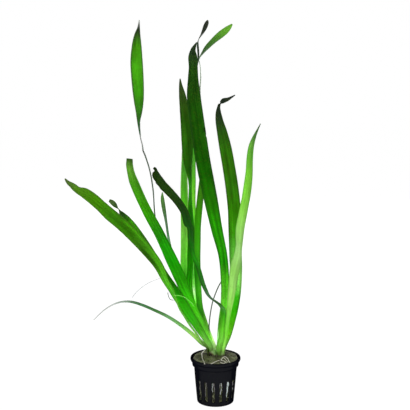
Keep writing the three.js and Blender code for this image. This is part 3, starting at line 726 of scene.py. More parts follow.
crossingDarkLeaf = {
    "node": "crossing_dark_leaf", "stem": "right", "slot": "black_green_leaf", "seed": 11,
    "points": [
        (4, 9.5, -0.3, 0, 6.4), (7, 22, -5, 20, 7.2), (7.4, 33.6, -9.4, 45, 8.5),
        (8.4, 43.2, -12.8, 55, 9.5), (8.4, 51.5, -16, 63, 10), (5.2, 56.6, -18.2, 76, 11),
        (0.8, 59.9, -19.8, 84, 11.5), (-4.4, 63.5, -21.8, 84, 11.5), (-8.25, 68, -23.4, 78, 11.5),
        (-11.6, 74.9, -25.4, 71, 11.6), (-14.35, 81.7, -27.2, 68, 12), (-16.2, 88.6, -29, 69, 12),
        (-18.15, 95.5, -30.4, 71, 11.8), (-20.1, 101, -31.4, 71, 12), (-23.65, 109.2, -33, 75, 12),
        (-26, 117.5, -34.2, 70, 12), (-27.2, 128.5, -36, 61, 12), (-28.05, 140.9, -38.2, 60, 12),
        (-30.3, 146, -39.2, 46, 11.4), (-34.5, 160, -42, 43, 10.4), (-42.3, 171.8, -45.2, 40, 10.2),
        (-50.9, 181.6, -48.8, 37, 10), (-58.7, 189.6, -52.2, 36, 10.3), (-64, 197.6, -55, 38, 10.5),
        (-65.9, 204, -57, 50, 9.4), (-66.1, 208, -58, 55, 3.9),
    ],
    "tints": [
        (0, "70a646"), (0.08, "6eb040"), (0.14, "5cae28"), (0.2, "42a018"), (0.22, "328e14"),
        (0.25, "4a8a3e"), (0.28, "2c5026"), (0.34, "567c5a"), (0.38, "2e6e28"), (0.43, "266a1e"),
        (0.49, "1e7810"), (0.53, "208e0c"), (0.57, "0d6a01"), (0.65, "12580a"), (0.72, "14480e"),
        (0.8, "1a3810"), (0.9, "1e3e0e"), (1, "122808"),
    ],
    "look": {"margin": 0.2, "bands": 0.32, "lines": 0.2},
    "channel": 0.12,
    "nicks": [(-1, 4.4, 2.4, 4.0), (-1, 14, 2.2, 0.9), (-1, 21, 2.6, 0.7)],
    "ragged": 0.25,
}
growBlade(crossingDarkLeaf)


brightLeaf = {
    "node": "bright_leaf", "stem": "right", "slot": "bright_leaf_tissue", "seed": 12,
    "points": [
        (8.5, 9.5, 1, 0, 3.4), (10.5, 20, -0.6, 0, 3.6), (12.1, 30, -2.6, 4, 3.8),
        (13.4, 40.5, -4.4, 10, 4.3), (14.9, 51.5, -6.4, 18, 5.8), (16.5, 62.5, -8.6, 26, 8.2),
        (17.9, 73.5, -11, 32, 9.8), (19.3, 84.5, -13.4, 37, 11), (21.2, 97, -16, 30, 12),
        (24, 108, -18.1, 41, 12), (25.7, 120, -20.5, 56, 12), (26.4, 131, -22.5, 50, 12),
        (27.2, 142, -24.4, 44, 12), (30.5, 160, -27.5, 45, 12), (34.3, 179, -30.6, 46, 11.8),
        (36.8, 200, -33.6, 49, 11.2), (37.7, 218, -36, 52, 10.4), (39.4, 231.5, -37.6, 56, 8.6),
        (43, 242.5, -39, 62, 6), (49.6, 256.5, -40.5, 70, 1),
    ],
    "tints": [
        (0, "8cc460"), (0.05, "ace46c"), (0.1, "8fd64b"), (0.15, "8ed154"), (0.24, "9cd464"),
        (0.33, "9cd06c"), (0.38, "8ec65e"), (0.48, "9ecc7a"), (0.52, "8fc564"), (0.55, "92c866"),
        (0.64, "86c84c"), (0.71, "76be3a"), (0.8, "6cb432"), (0.87, "5ca430"), (0.91, "62a03a"),
        (0.95, "4a7836"), (1, "3a4e2e"),
    ],
    "look": {"edge": "2f7414", "margin": 0.3, "side": -0.14, "spots": 0.15, "mottle": 0.1},
}
growBlade(brightLeaf)


tallDarkLeaf = {
    "node": "tall_dark_leaf", "stem": "right", "slot": "dark_leaf", "seed": 13,
    "points": [
        (5.2, 9.5, 3.4, 0, 7.2), (5.7, 24, 2.4, 0, 7.5), (7.5, 40, 1.2, 4, 8.3), (9.9, 58, -0.4, 10, 8.7),
        (10.5, 84, -2.6, 22, 9.6), (8.1, 111, -4.6, 28, 10.9), (1.6, 139.5, -6.8, 26, 13.1),
        (-4.2, 168, -9, 15, 14.7), (-9.2, 192.3, -10.6, 8, 15.3), (-13.9, 216.5, -12, 5, 15.4),
        (-17.6, 240, -13, 5, 15.4), (-21, 264, -14, 5, 14.9), (-24, 288, -15, 6, 14),
        (-24.6, 306, -15.6, 10, 10.9), (-24.5, 319, -16, 15, 9.4), (-25, 330, -16.3, 18, 9.6),
        (-24.7, 337.4, -16.6, 25, 5.7), (-22.5, 342.4, -16.8, 35, 3.2), (-20.6, 346, -17, 45, 1),
    ],
    "tints": [
        (0, "a4ba80"), (0.05, "c6faa8"), (0.09, "5ca834"), (0.11, "489a26"), (0.16, "72c838"),
        (0.24, "66d828"), (0.31, "2aa60a"), (0.41, "2ba206"), (0.5, "237a04"), (0.6, "166101"),
        (0.7, "185404"), (0.78, "1c5806"), (0.86, "1c460a"), (0.92, "1a420c"), (0.95, "203a18"),
        (0.97, "1e2e1c"), (1, "263222"),
    ],
    "look": {"edge": "244818", "margin": 0.5, "side": 0.08, "spots": 0.6, "spotColour": "38560c",
             "mottle": 0.24, "bands": 0.42, "lines": 0.5,
             "folds": ((0.62, 0.3, 0.05, 0.22, 0.3), (0.735, 0.012, 0.9, 0.35, 0.85))},
    "nicks": [(1, 97, 1.8, 0.7)],
}
growBlade(tallDarkLeaf)


darkSlimLeaf = {
    "node": "dark_slim_leaf", "stem": "right", "slot": "black_green_leaf", "seed": 14,
    "points": [
        (7.2, 9.5, 4.6, 0, 4.2), (8.2, 24, 4.4, 0, 5), (9.6, 42, 4, 4, 5.8), (10.8, 65, 3.3, 8, 6.4),
        (11, 90, 2.5, 12, 6.8), (8.3, 115, 1.5, 12, 7), (4, 140, 0.3, 10, 7), (-1.4, 166, -1.5, 8, 7),
        (-6.8, 190, -3, 8, 7), (-11.6, 216, -4.3, 8, 7), (-15.3, 240, -5.4, 8, 7),
        (-18.2, 264, -6.4, 8, 6.8), (-23.3, 290, -7.4, 20, 6), (-22.9, 306, -8, 40, 5.6),
        (-21.7, 315, -8.4, 60, 4.6), (-20, 321.5, -8.6, 72, 3.8), (-18.8, 328, -8.7, 72, 4.2),
        (-18.9, 335.5, -8.9, 64, 4), (-19.5, 343, -9.1, 64, 3.8), (-18.8, 348.6, -9.5, 90, 4.6),
        (-15.8, 353.8, -9.9, 106, 4.8), (-12.9, 359.2, -10.1, 130, 5.2), (-10.8, 364.2, -10.3, 146, 5.2),
        (-9.3, 368, -10.4, 150, 4), (-8.5, 370.4, -10.5, 150, 1.4),
    ],
    "tints": [
        (0, "8ca468"), (0.05, "62ac34"), (0.1, "60b828"), (0.17, "78ea3a"), (0.24, "4ac60e"),
        (0.31, "2ca20e"), (0.38, "48ac1a"), (0.45, "4a900c"), (0.55, "32820c"), (0.66, "26660a"),
        (0.8, "2a5a12"), (0.85, "2a3c2a"), (0.925, "283a2c"), (0.945, "545e54"), (0.965, "2c322a"),
        (1, "2e322a"),
    ],
    "look": {"margin": 0.15},
}
growBlade(darkSlimLeaf)


hookedTipLeaf = {
    "node": "hooked_tip_leaf", "stem": "right", "slot": "olive_leaf", "seed": 15,
    "points": [
        (8.6, 9.5, 6, 0, 5.4), (13.7, 24, 7.3, 0, 7.4), (17.4, 39, 8.8, 4, 8.6),
        (20.2, 54, 10.3, 8, 10.2), (22, 70, 11.8, 11, 11.8), (22.6, 90, 13.4, 12, 13.4),
        (22.1, 112, 15.2, 12, 14.2), (21.2, 138, 17.4, 12, 14.2), (20.6, 162, 20, 12, 14.6),
        (18.3, 185, 22.3, 10, 14.5), (15, 207, 24.6, 8, 14), (11.2, 228.5, 26.5, 8, 13.6),
        (7.5, 246, 28, 9, 11.6), (4.3, 259.5, 29.2, 13, 8.8), (3.2, 269, 29.9, 27, 6.4),
        (3.5, 274.6, 30.3, 48, 4.6), (4.6, 278.3, 30.6, 64, 4.7), (5.4, 279.5, 31, 112, 5.8),
        (9, 281.9, 31.4, 150, 6.1), (13, 283.1, 31.9, 162, 4.2), (17.2, 285.4, 32.4, 166, 2.4),
        (21.6, 288, 33, 170, 0.9),
    ],
    "tints": [
        (0, "86b062"), (0.07, "589e1e"), (0.12, "44980e"), (0.17, "309c08"), (0.22, "36a314"),
        (0.29, "a0e671"), (0.37, "68be40"), (0.45, "3a900e"), (0.53, "327e06"), (0.61, "30720c"),
        (0.72, "306e0c"), (0.76, "2f700d"), (0.82, "2a5c12"), (0.87, "284220"), (0.92, "263226"),
        (1, "202624"),
    ],
    "look": {"edge": "24400e", "margin": 0.5, "spots": 0.5, "mottle": 0.22, "bands": 0.34, "lines": 0.5,
             "folds": ((0.6, 0.3, -0.1, 0.2, 0.2),)},
}
growBlade(hookedTipLeaf)

print("blades grown")


# Threads, roots and fibres.

# Many thin strands as one mesh. Each strand is a list of places and radii, with a tone from 0 to 1
# that its material reads as the map's first number.
def layStrands(name, strands, sides, material, slot, replaced=()):
    rows = sum(len(points) for points, tone in strands)
    bm = bmesh.new()
    uv = bm.loops.layers.uv.new("strand")
    bmesh.ops.create_grid(bm, x_segments=sides, y_segments=rows - 1, size=0.5)
    starts, ends, frames = set(), set(), []
    for points, tone in strands:
        starts.add(len(frames))
        side = Vector((0.23, 0.92, 0.31))  # a direction that no strand starts in
        for i, (place, radius) in enumerate(points):
            ahead = points[min(i + 1, len(points) - 1)][0]
            along = (ahead - points[max(i - 1, 0)][0]).normalized()
            side = (side - along * side.dot(along)).normalized()  # turned as little as it can be
            frames.append((place, radius, side, along.cross(side), tone, i / (len(points) - 1)))
        ends.add(len(frames) - 1)
    rowOf = {vert: round((vert.co.y + 0.5) * (rows - 1)) for vert in bm.verts}
    loose = [face for face in bm.faces if min(rowOf[v] for v in face.verts) in ends]
    for face in bm.faces:
        for loop in face.loops:
            loop[uv].uv = frames[rowOf[loop.vert]][4:]
    bmesh.ops.delete(bm, geom=loose, context="FACES_ONLY")
    for vert in bm.verts:
        place, radius, side, other, tone, share = frames[rowOf[vert]]
        if rowOf[vert] in starts or rowOf[vert] in ends:
            radius = 0
        angle = 2 * math.pi * (vert.co.x + 0.5)
        vert.co = (place + (side * math.cos(angle) + other * math.sin(angle)) * radius) * mm
    bmesh.ops.remove_doubles(bm, verts=bm.verts, dist=1e-7)
    bmesh.ops.recalc_face_normals(bm, faces=bm.faces)
    newPiece(name, bm, [material], slot, replaced)


# A smooth line through places, cut into a number of steps.
def smoothLine(places, steps):
    result = []
    for i in range(steps + 1):
        t = i / steps * (len(places) - 1)
        k = min(int(t), len(places) - 2)
        t -= k
        a, b = places[max(k - 1, 0)], places[k]
        c, d = places[k + 1], places[min(k + 2, len(places) - 1)]
        result.append(0.5 * (2 * b + (c - a) * t + (2 * a - 5 * b + 4 * c - d) * t ** 2
                             + (3 * b - a - 3 * c + d) * t ** 3))
    return result


def makeStrandFinish(name, tints, rough, through):
    material, tree = newMaterial(name)
    tone = splitVector(tree, addNode(tree, "ShaderNodeUVMap", uv_map="strand").outputs[0])[0]
    patch = addNoise(tree, objectPlace(tree), 900.0, 3.0)
    shade = calculate(tree, "ADD", tone, remap(tree, patch, 0.3, 0.7, -0.16, 0.16), clamp=True)
    colour = blendTints(tree, shade, tints)
    skin = {"Base Color": colour, "Roughness": rough, "Normal": addBump(tree, patch, 0.3, 0.0001)}
    finishFlesh(tree, through, skin, {"Color": colour})
    return material


slenderStalk = {
    "node": "slender_stalk", "slot": "dark_leaf",
    "thick": 0.74, "thin": 0.64,
    "tints": [(0, "2c3424"), (0.5, "445440"), (1, "5e6a60")],
    "points": [
        (0.6, 9.5, 4.6), (-3.8, 20, 5.2), (-6.9, 30.5, 5.4), (-6.5, 40, 5.7), (-5.2, 50, 6.2),
        (-3.2, 60, 6.7), (-0.2, 69, 7.4), (3.4, 77.5, 8.2), (7.5, 84.5, 9), (11.4, 91, 9.8),
        (13.2, 97, 10.4),
    ],
}

paleRunner = {
    "node": "pale_runner", "slot": "light_leaf",
    "thick": 0.42, "thin": 0.3,
    "tints": [(0, "58b830"), (0.6, "7ee04c"), (1, "a0f070")],
    "points": [
        (-45, 67.6, -23), (-40, 67.4, -22), (-35, 66, -19), (-30.5, 63, -16), (-26.5, 59.4, -13.4),
        (-23.5, 55.6, -11.4),
    ],
}

darkCurl = {
    "node": "dark_curl", "slot": "black_green_leaf",
    "thick": 0.45, "thin": 0.3,
    "tints": [(0, "26402a"), (0.6, "3c5a40"), (1, "6a806c")],
    "points": [
        (-52.4, 70.8, -20), (-52, 68, -19.8), (-51, 65, -19.6), (-49.4, 63, -19.4), (-46, 62.2, -19.2),
    ],
}

rootThread = {
    "node": "root_thread", "slot": "pale_root",
    "thick": 0.3, "thin": 0.22,
    "tints": [(0, "8a9094"), (0.6, "a2a6a8"), (1, "c0c4c4")],
    "points": [
        (-92, 64.8, -12), (-87, 71, -13.5), (-80, 77.2, -15.5), (-72, 82, -18), (-65, 85, -20),
        (-61, 86.4, -21.2),
    ],
}

threadSteps = 48
for thread in (slenderStalk, paleRunner, darkCurl, rootThread):
    thick, thin = thread["thick"], thread["thin"]
    line = smoothLine([atDepth(*spot) for spot in thread["points"]], threadSteps)
    strand = [(place, thick + (thin - thick) * i / threadSteps) for i, place in enumerate(line)]
    finish = makeStrandFinish(thread["node"] + "_skin", thread["tints"], 0.45, 0.12)
    layStrands(thread["node"] + "_thread", [(strand, 0.5)], 8, finish, thread["slot"], [thread["node"]])
print("threads laid")


# The net pot.

pot = {
    "wall": 1.2,
    "slots": 16,
    "slotHalf": 1.9,
    "slotBottom": 5.0,
    "slotTop": 27.8,
    "phase": -7.0,  # degrees that the first slot stands off the front
    "floorSlots": 8,
    "floorSlotHalf": 1.7,
    "floorInner": 8.5,
    "floorOuter": 16.5,
    "floorFlat": 19.0,
    "slotColumns": 4,
    "ribColumns": 5,
    "widestSlot": 1.4,  # times the angle that a slot has on the wall
    "softEdge": 0.22,
    "plastic": "08090f",
    "dust": "26251f",
    # The outside of the plastic: from the middle of the floor to its edge,
    "floor": [
        (0, 0), (4, 0), (8.5, 0), (10.5, 0), (12.5, 0), (14.5, 0), (16.5, 0), (18, 0), (19.3, 0),
        (20, 0.35), (20.25, 1),
    ],
    # up the wall to the collar,
    "side": [
        (20.45, 3), (20.65, 5), (21, 8.5), (21.3, 12), (21.65, 16), (22, 20), (22.35, 24), (22.65, 27.8),
        (22.9, 31), (23.2, 35), (23.6, 39.6), (23.75, 40.5), (24.2, 41), (25, 41.3), (25.4, 41.7),
        (25.6, 42.6), (25.7, 45),
    ],
    # and out, over and into the lip.
    "lip": [
        (25.95, 45.9), (26.5, 46.4), (27.1, 46.9), (27.5, 47.7), (27.6, 48.9), (27.45, 49.9),
        (27.05, 50.5), (26.5, 50.8), (26, 50.65), (25.7, 50.2), (25.55, 49.2),
    ],
}
potOutline = pot["floor"] + pot["side"] + pot["lip"]


def makePotFinish():
    material, tree = newMaterial("moulded_black_plastic")
    place = objectPlace(tree)
    x, y, z = splitVector(tree, place)
    upright = addNode(tree, "ShaderNodeCombineXYZ", {
        "X": times(tree, calculate(tree, "ARCTAN2", x, y), 9.0), "Y": times(tree, z, 14.0),
    }).outputs[0]
    flow = addNoise(tree, upright, 2.0, 3.0)
    grain = addNoise(tree, place, 2600.0, 2.0)
    dusty = remap(tree, addNoise(tree, place, 240.0, 6.0), 0.56, 0.72, 0.0, 0.5, smooth=True)
    worn = times(tree, dusty, plus(tree, remap(tree, z, 0.03, 0.0, 0.0, 0.6), 0.25))  # more so low down
    rough = plus(tree, remap(tree, flow, 0.3, 0.7, 0.26, 0.4), times(tree, worn, 0.5))
    facing = addNode(tree, "ShaderNodeLayerWeight", {"Blend": 0.5}).outputs["Facing"]
    plastic = addNode(tree, "ShaderNodeBsdfPrincipled", {
        "Base Color": mixColour(tree, worn, tint(pot["plastic"]), pot["dust"]), "Roughness": rough,
        "Normal": addBump(tree, plus(tree, flow, times(tree, grain, 0.12)), 0.4, 0.0003),
        # no glare where it is seen edge-on
        "Specular IOR Level": remap(tree, facing, 0.02, 0.45, 0.08, 0.0),
    })
    finishMaterial(tree, plastic.outputs[0])
    return material


def mouldPot():
    perSlot = pot["slotColumns"] + pot["ribColumns"]
    columns, rows = perSlot * pot["slots"], len(potOutline) - 1
    floorRows = len(pot["floor"])
    period = 2 * math.pi / pot["slots"]
    firstHalf = math.asin(pot["slotHalf"] / pot["side"][3][0])  # half a slot's angle on the wall
    widest = math.sin(firstHalf * pot["widestSlot"])
    bm = bmesh.new()
    bmesh.ops.create_grid(bm, x_segments=columns, y_segments=rows, size=0.5)
    columnOf = {vert: round((vert.co.x + 0.5) * columns) for vert in bm.verts}
    rowOf = {vert: round((vert.co.y + 0.5) * rows) for vert in bm.verts}

    openings = []
    for face in bm.faces:
        slot, part = divmod(min(columnOf[v] for v in face.verts), perSlot)
        row = min(rowOf[v] for v in face.verts)
        radius, height = potOutline[row]
        onWall = row >= floorRows and pot["slotBottom"] <= height < pot["slotTop"]
        onFloor = height == 0 and pot["floorInner"] <= radius < pot["floorOuter"]
        onFloor = onFloor and slot % (pot["slots"] // pot["floorSlots"]) == 0
        if part < pot["slotColumns"] and (onWall or onFloor):
            openings.append(face)
    bmesh.ops.delete(bm, geom=openings, context="FACES")

    for vert in list(bm.verts):
        radius, height = potOutline[rowOf[vert]]
        slot, part = divmod(columnOf[vert], perSlot)
        wide = pot["floorSlotHalf"] if height == 0 and radius < pot["floorFlat"] else pot["slotHalf"]
        half = math.asin(min(wide / radius, widest)) if radius else firstHalf
        if part <= pot["slotColumns"]:
            angle = half * (2 * part / pot["slotColumns"] - 1)
        else:
            angle = half + (period - 2 * half) * (part - pot["slotColumns"]) / pot["ribColumns"]
        angle += slot * period + math.radians(pot["phase"])
        vert.co = Vector((radius * math.sin(angle), -radius * math.cos(angle), height)) * mm
    bmesh.ops.remove_doubles(bm, verts=bm.verts, dist=1e-6)
    bmesh.ops.recalc_face_normals(bm, faces=bm.faces)
    if max(bm.faces, key=lambda f: f.calc_center_median().z).normal.z < 0:
        bmesh.ops.reverse_faces(bm, faces=bm.faces)
    piece = newPiece("net_pot_shell", bm, [makePotFinish()], "black_plastic", ["net_pot"])
    wall = piece.modifiers.new("wall", "SOLIDIFY")
    wall.thickness, wall.offset, wall.use_even_offset = pot["wall"] * mm, -1, True
    edge = piece.modifiers.new("soft_edges", "BEVEL")
    edge.width, edge.segments = pot["softEdge"] * mm, 2
    edge.limit_method, edge.angle_limit = "ANGLE", math.radians(50)


mouldPot()
print("net pot moulded")


# The plug of mineral wool.

plug = {
    "top": 49.8,
    "bottom": 1.9,
    "mound": 2.3,
    "moundReach": 25.6,
    "lump": 0.45,
    "lumpRates": (0.55, 0.47),
    "bumps": [(0.42, 0.33, 0), (0.34, 0.9, 7), (0.16, 2.4, 3)],  # height, rate, slice of the noise
    "edge": 24.0,  # radius where it meets the pot
    "gap": 0.35,  # between its side and the pot's wall
    "rings": 30,
    "turns": 132,
    "hollow": 1.5,  # how far it sinks round the stems
    "hollowMargin": 2.6,
    "pale": (-7.5, -11.5, 7.5, 4.5),  # middle and half size of a paler patch
    "tints": [(0.32, "18180e"), (0.42, "36371c"), (0.52, "545b32"), (0.62, "7a8350"), (0.74, "aab084")],
    # painted sheen near the pot's wall
    "rim": "a8a592",
}
woolFibre = {
    "onTop": 3800,
    "onSide": 520,
    "reach": 23.4,  # how far from the middle the top ones start
    "limit": 23.8,
    "length": (1.6, 5.5),
    "radius": (0.03, 0.07),
    "sideRadius": 0.09,
    "steps": 5,
    "lift": (-0.05, 0.45),
    "heights": (3.5, 29),  # where the side ones start
    "tints": [(0, "1a180c"), (0.35, "444628"), (0.7, "7c8252"), (1, "c2c8a0")],
}
# A sheath runs from one angle to another, from a height to a height, and stands out by some.
crowns = {
    "left": {
        "node": "left_crown", "centre": Vector((-4, 4, 0)), "foot": (4.7, 4.6), "top": (4.9, 4.8),
        "sheaths": [(-160, 40, 50.0, 57.5, 0.0), (20, 215, 49.8, 58, 0.2), (-80, 120, 49.6, 55.5, 0.4)],
        "seed": 3,
    },
    "right": {
        "node": "right_crown", "centre": Vector((5.8, 4, 0)), "foot": (3.9, 3.9), "top": (3.7, 3.9),
        "sheaths": [(-150, 60, 50.0, 57, 0.0), (30, 230, 49.8, 57.6, 0.2), (-70, 110, 49.6, 55, 0.4)],
        "seed": 8,
    },
}


def towards(angle):
    return Vector((math.cos(angle), math.sin(angle), 0))


# How far a place is from a stem: 1 at the stem's foot, widened by the margin.
def offStem(crown, place, margin):
    off = place - crown["centre"]
    return math.hypot(off.x / (crown["foot"][0] + margin), off.y / (crown["foot"][1] + margin))


def plugHeight(x, y):
    inward = 1 - min(1, math.hypot(x, y) / plug["moundReach"])
    mound = plug["mound"] * inward * (2 - inward)
    rateX, rateY = plug["lumpRates"]
    return plug["top"] + mound + plug["lump"] * math.sin(rateX * x + 1) * math.cos(rateY * y) * inward


def woolSurface(x, y):
    height = plugHeight(x, y)
    for crown in crowns.values():
        height -= plug["hollow"] * max(0.0, 1 - offStem(crown, Vector((x, y, 0)), plug["hollowMargin"]) ** 4)
    for size, rate, layer in plug["bumps"]:
        height += size * noise.noise(Vector((x, y, layer)) * rate)
    return height


# A place on the pot's side, with its angle from the front.
def onSide(angle, reach, height):
    return Vector((reach * math.sin(angle), -reach * math.cos(angle), height))


def onWool(spot, rise):
    return Vector((spot.x, spot.y, woolSurface(spot.x, spot.y) + rise))


def keepInside(spot, limit):
    reach = math.hypot(spot.x, spot.y)
    return spot * (limit / reach) if reach > limit else spot


# The plug's side follows the inside of the pot's wall.
def woolRadius(height):
    wall = pot["floor"][-2:] + pot["side"]
    below = [p for p in wall if p[1] <= height][-1]
    above = [p for p in wall if p[1] >= height] or [below]
    share = (height - below[1]) / max(above[0][1] - below[1], 0.01)
    return below[0] + (above[0][0] - below[0]) * share - pot["wall"] - plug["gap"]


# How far a place is from the middle of an ellipse: 1 on its outline. All sizes in metres.
def offEllipse(tree, place, x, y, halfX, halfY):
    moved = addNode(tree, "ShaderNodeMapping", {
        "Vector": place, "Location": (-x / halfX, -y / halfY, 0), "Scale": (1 / halfX, 1 / halfY, 0),
    }).outputs[0]
    return addNode(tree, "ShaderNodeVectorMath", {0: moved}, operation="LENGTH").outputs["Value"]


def makeWoolFinish():
    material, tree = newMaterial("brown_mineral_wool")
    place = objectPlace(tree)
    x, y, z = splitVector(tree, place)
    clumps = addNoise(tree, place, 150.0, 7.0, Roughness=0.62)
    threads = addNoise(tree, place, 800.0, 5.0, Distortion=2.2)
    reach = plus(tree, calculate(tree, "POWER", x, 2.0), calculate(tree, "POWER", y, 2.0))
    # Painted sheen: the wool is painted paler near the pot's wall.
    rim = remap(tree, calculate(tree, "SQRT", reach), 0.018, 0.024, 0.0, 0.55, smooth=True)
    sheenShare = times(tree, rim, remap(tree, threads, 0.35, 0.65))
    colour = mixColour(tree, sheenShare, blendTints(tree, clumps, plug["tints"]), plug["rim"])
    # Painted shade: below the top, the plug's side is painted darker, down to 0.3 at 36 mm, where the pot
    # shades it.
    light = times(tree, remap(tree, threads, 0.3, 0.7, 0.55, 1.35), remap(tree, z, 0.036, 0.046, 0.3, 1.0))
    for crown in crowns.values():  # painted shade: darker round the stems, under the leaves
        centre = crown["centre"] * mm
        away = offEllipse(tree, place, centre.x, centre.y, *[(half + 3.2) * mm for half in crown["foot"]])
        light = times(tree, light, remap(tree, away, 0.6, 1.05, 0.3, 1.0, smooth=True))
    away = offEllipse(tree, place, *[size * mm for size in plug["pale"]])
    light = times(tree, light, remap(tree, away, 0.3, 1.1, 1.5, 1.0, smooth=True))
    wool = addNode(tree, "ShaderNodeBsdfPrincipled", {
        "Base Color": brighten(tree, colour, light), "Roughness": remap(tree, clumps, 0.3, 0.7, 0.7, 0.95),
        "Normal": addBump(tree, threads, 0.9, 0.0006), "Specular IOR Level": 0.3,
    })
    finishMaterial(tree, wool.outputs[0])
    return material


def packWool():
    top, rings = plug["top"], plug["rings"]
    outline = [(plug["edge"] * i / rings, top) for i in range(rings)]
    outline += [(woolRadius(height), height) for height in [top - 1.2 - 1.5 * i for i in range(rings + 1)]]
    outline += [(radius, plug["bottom"]) for radius in (17.5, 12, 6, 0)]
    bm = bmesh.new()
    chain = [bm.verts.new((radius * mm, 0, height * mm)) for radius, height in outline]
    edges = [bm.edges.new(pair) for pair in zip(chain, chain[1:])]
    bmesh.ops.spin(bm, geom=chain + edges, cent=(0, 0, 0), axis=(0, 0, 1), angle=2 * math.pi,
                   steps=plug["turns"], use_merge=True)
    bmesh.ops.remove_doubles(bm, verts=bm.verts, dist=1e-6)
    for vert in bm.verts:
        x, y, z = vert.co / mm
        reach = math.hypot(x, y)
        if z > top - 0.1:
            vert.co.z = woolSurface(x, y) * mm
        elif z > 3 and reach > 1:
            push = 0.5 * noise.noise(vert.co * 420) + 0.3 * noise.noise(vert.co * 1100)
            scale = (reach + min(push, 0.25)) / reach
            vert.co.x, vert.co.y = x * scale * mm, y * scale * mm
    bmesh.ops.recalc_face_normals(bm, faces=bm.faces)
    newPiece("wool_plug", bm, [makeWoolFinish()], "mineral_wool", ["growing_medium"])


packWool()

draw = random.Random(41)
fibreFinish = makeStrandFinish("wool_fibre", woolFibre["tints"], 0.8, 0.1)
fibres, steps = [], woolFibre["steps"]
for number in range(woolFibre["onTop"]):
    angle, reach = draw.uniform(0, 2 * math.pi), woolFibre["reach"] * math.sqrt(draw.random())
    heading, curl = draw.uniform(0, 2 * math.pi), draw.gauss(0, 0.5)
    length, radius = draw.uniform(*woolFibre["length"]), draw.uniform(*woolFibre["radius"])
    lift, spot, points = draw.uniform(*woolFibre["lift"]), towards(angle) * reach, []
    patch = noise.noise(spot * 0.14) + 0.5 * noise.noise(spot * 0.4)
    x, y, halfX, halfY = plug["pale"]
    patch += 0.45 * max(0.0, 1.0 - math.hypot((spot.x - x) / halfX, (spot.y - y) / halfY))
    # Painted shade: fibres near the stems get darker tones.
    for crown in crowns.values():
        patch -= 0.5 * max(0.0, 1.5 - offStem(crown, spot, 2))
    for i in range(steps + 1):
        spot = keepInside(spot, woolFibre["limit"])
        points.append((onWool(spot, lift * math.sin(math.pi * i / steps) ** 2), radius))
        heading += curl * draw.uniform(0.3, 1)
        spot = spot + towards(heading) * length / steps
    fibres.append((points, clamp(draw.gauss(0.4 + 0.7 * patch, 0.2))))
layStrands("wool_fibres", fibres, 3, fibreFinish, "mineral_wool")

fibres = []
low, high = woolFibre["heights"]
for number in range(woolFibre["onSide"]):
    angle, height = draw.uniform(0, 2 * math.pi), draw.uniform(low, high)
    climb, turn, points = draw.gauss(0, 0.9), draw.gauss(0, 0.05), []
    for j in range(steps + 1):
        reach = woolRadius(height) + 0.3 + 0.5 * math.sin(math.pi * j / steps)
        points.append((onSide(angle, reach, height), woolFibre["sideRadius"]))
        angle += turn + draw.gauss(0, 0.01)
        height = clamp(height + climb, low - 0.5, high)
    fibres.append((points, clamp(draw.gauss(0.55, 0.25))))
layStrands("side_fibres", fibres, 3, fibreFinish, "mineral_wool")
print("plug packed")


# The roots on the plug and at its side.

rootFinish = makeStrandFinish(
    "pale_root", [(0, "3e3826"), (0.4, "77704f"), (0.75, "bcb69c"), (1, "ece8da")], 0.5, 0.2)
wetRootFinish = makeStrandFinish(
    "wet_root", [(0, "2c2a2a"), (0.4, "5c585c"), (0.75, "9c989c"), (1, "ccd8d6")], 0.4, 0.2)


# The place on the plug that is seen across and up, lifted by some.
def onPlug(across, up, lift):
    line = sightLine(across, up)
    place = viewpoint.copy()
    for i in range(8):
        place = viewpoint + line * ((plugHeight(place.x, place.y) + lift - viewpoint.z) / line.z)
    return place


surfaceRoots = {
    "thick": 0.42,
    "thin": 0.3,
    "lift": 0.75,
    "sway": 0.5,
    "steps": 30,
    "tones": (0.92, 1, 0.9, 1, 0.8),
    "courses": [
        [(-11.9, 7.1), (-13.6, 5.4), (-15, 3.4), (-14.9, 0.6), (-14.3, -2.1), (-12.9, -5), (-11.6, -8.4)],
        [(-5.4, -8), (-3.8, -7.4), (-1.9, -6.3), (-0.2, -5.6), (1.5, -4.6), (3.2, -4), (5, -3.9)],
        [(5.4, -3.4), (7.7, -4.4), (9.4, -4.6), (11.1, -6), (9.8, -7), (7.2, -6.8), (5.2, -5.6)],
        [(6.2, -3.4), (7.2, -2.2), (8.4, -0.8), (9.9, 0.1), (11.6, -0.4), (13.2, -1.7), (14.9, -4.9),
         (15.3, -6.6)],
        [(9, -1.4), (10.4, -2.2), (11.8, -3.6), (12.8, -5.4), (12, -7)],
    ],
}
for number, course in enumerate(surfaceRoots["courses"]):
    line = smoothLine([onPlug(*spot, surfaceRoots["lift"]) for spot in course], surfaceRoots["steps"])
    points = []
    for i, place in enumerate(line):
        sway = Vector((noise.noise(place * 0.35), noise.noise(place * 0.35 + Vector((9, 0, 0))), 0))
        taper = (surfaceRoots["thick"] - surfaceRoots["thin"]) * i / surfaceRoots["steps"]
        radius = surfaceRoots["thick"] - taper + 0.06 * noise.noise(place * 1.3)
        points.append((place + sway * surfaceRoots["sway"], radius))
    layStrands(f"root_{number + 1}", [(points, surfaceRoots["tones"][number])], 8, rootFinish, "pale_root",
               [f"surface_root_{number + 1}"])

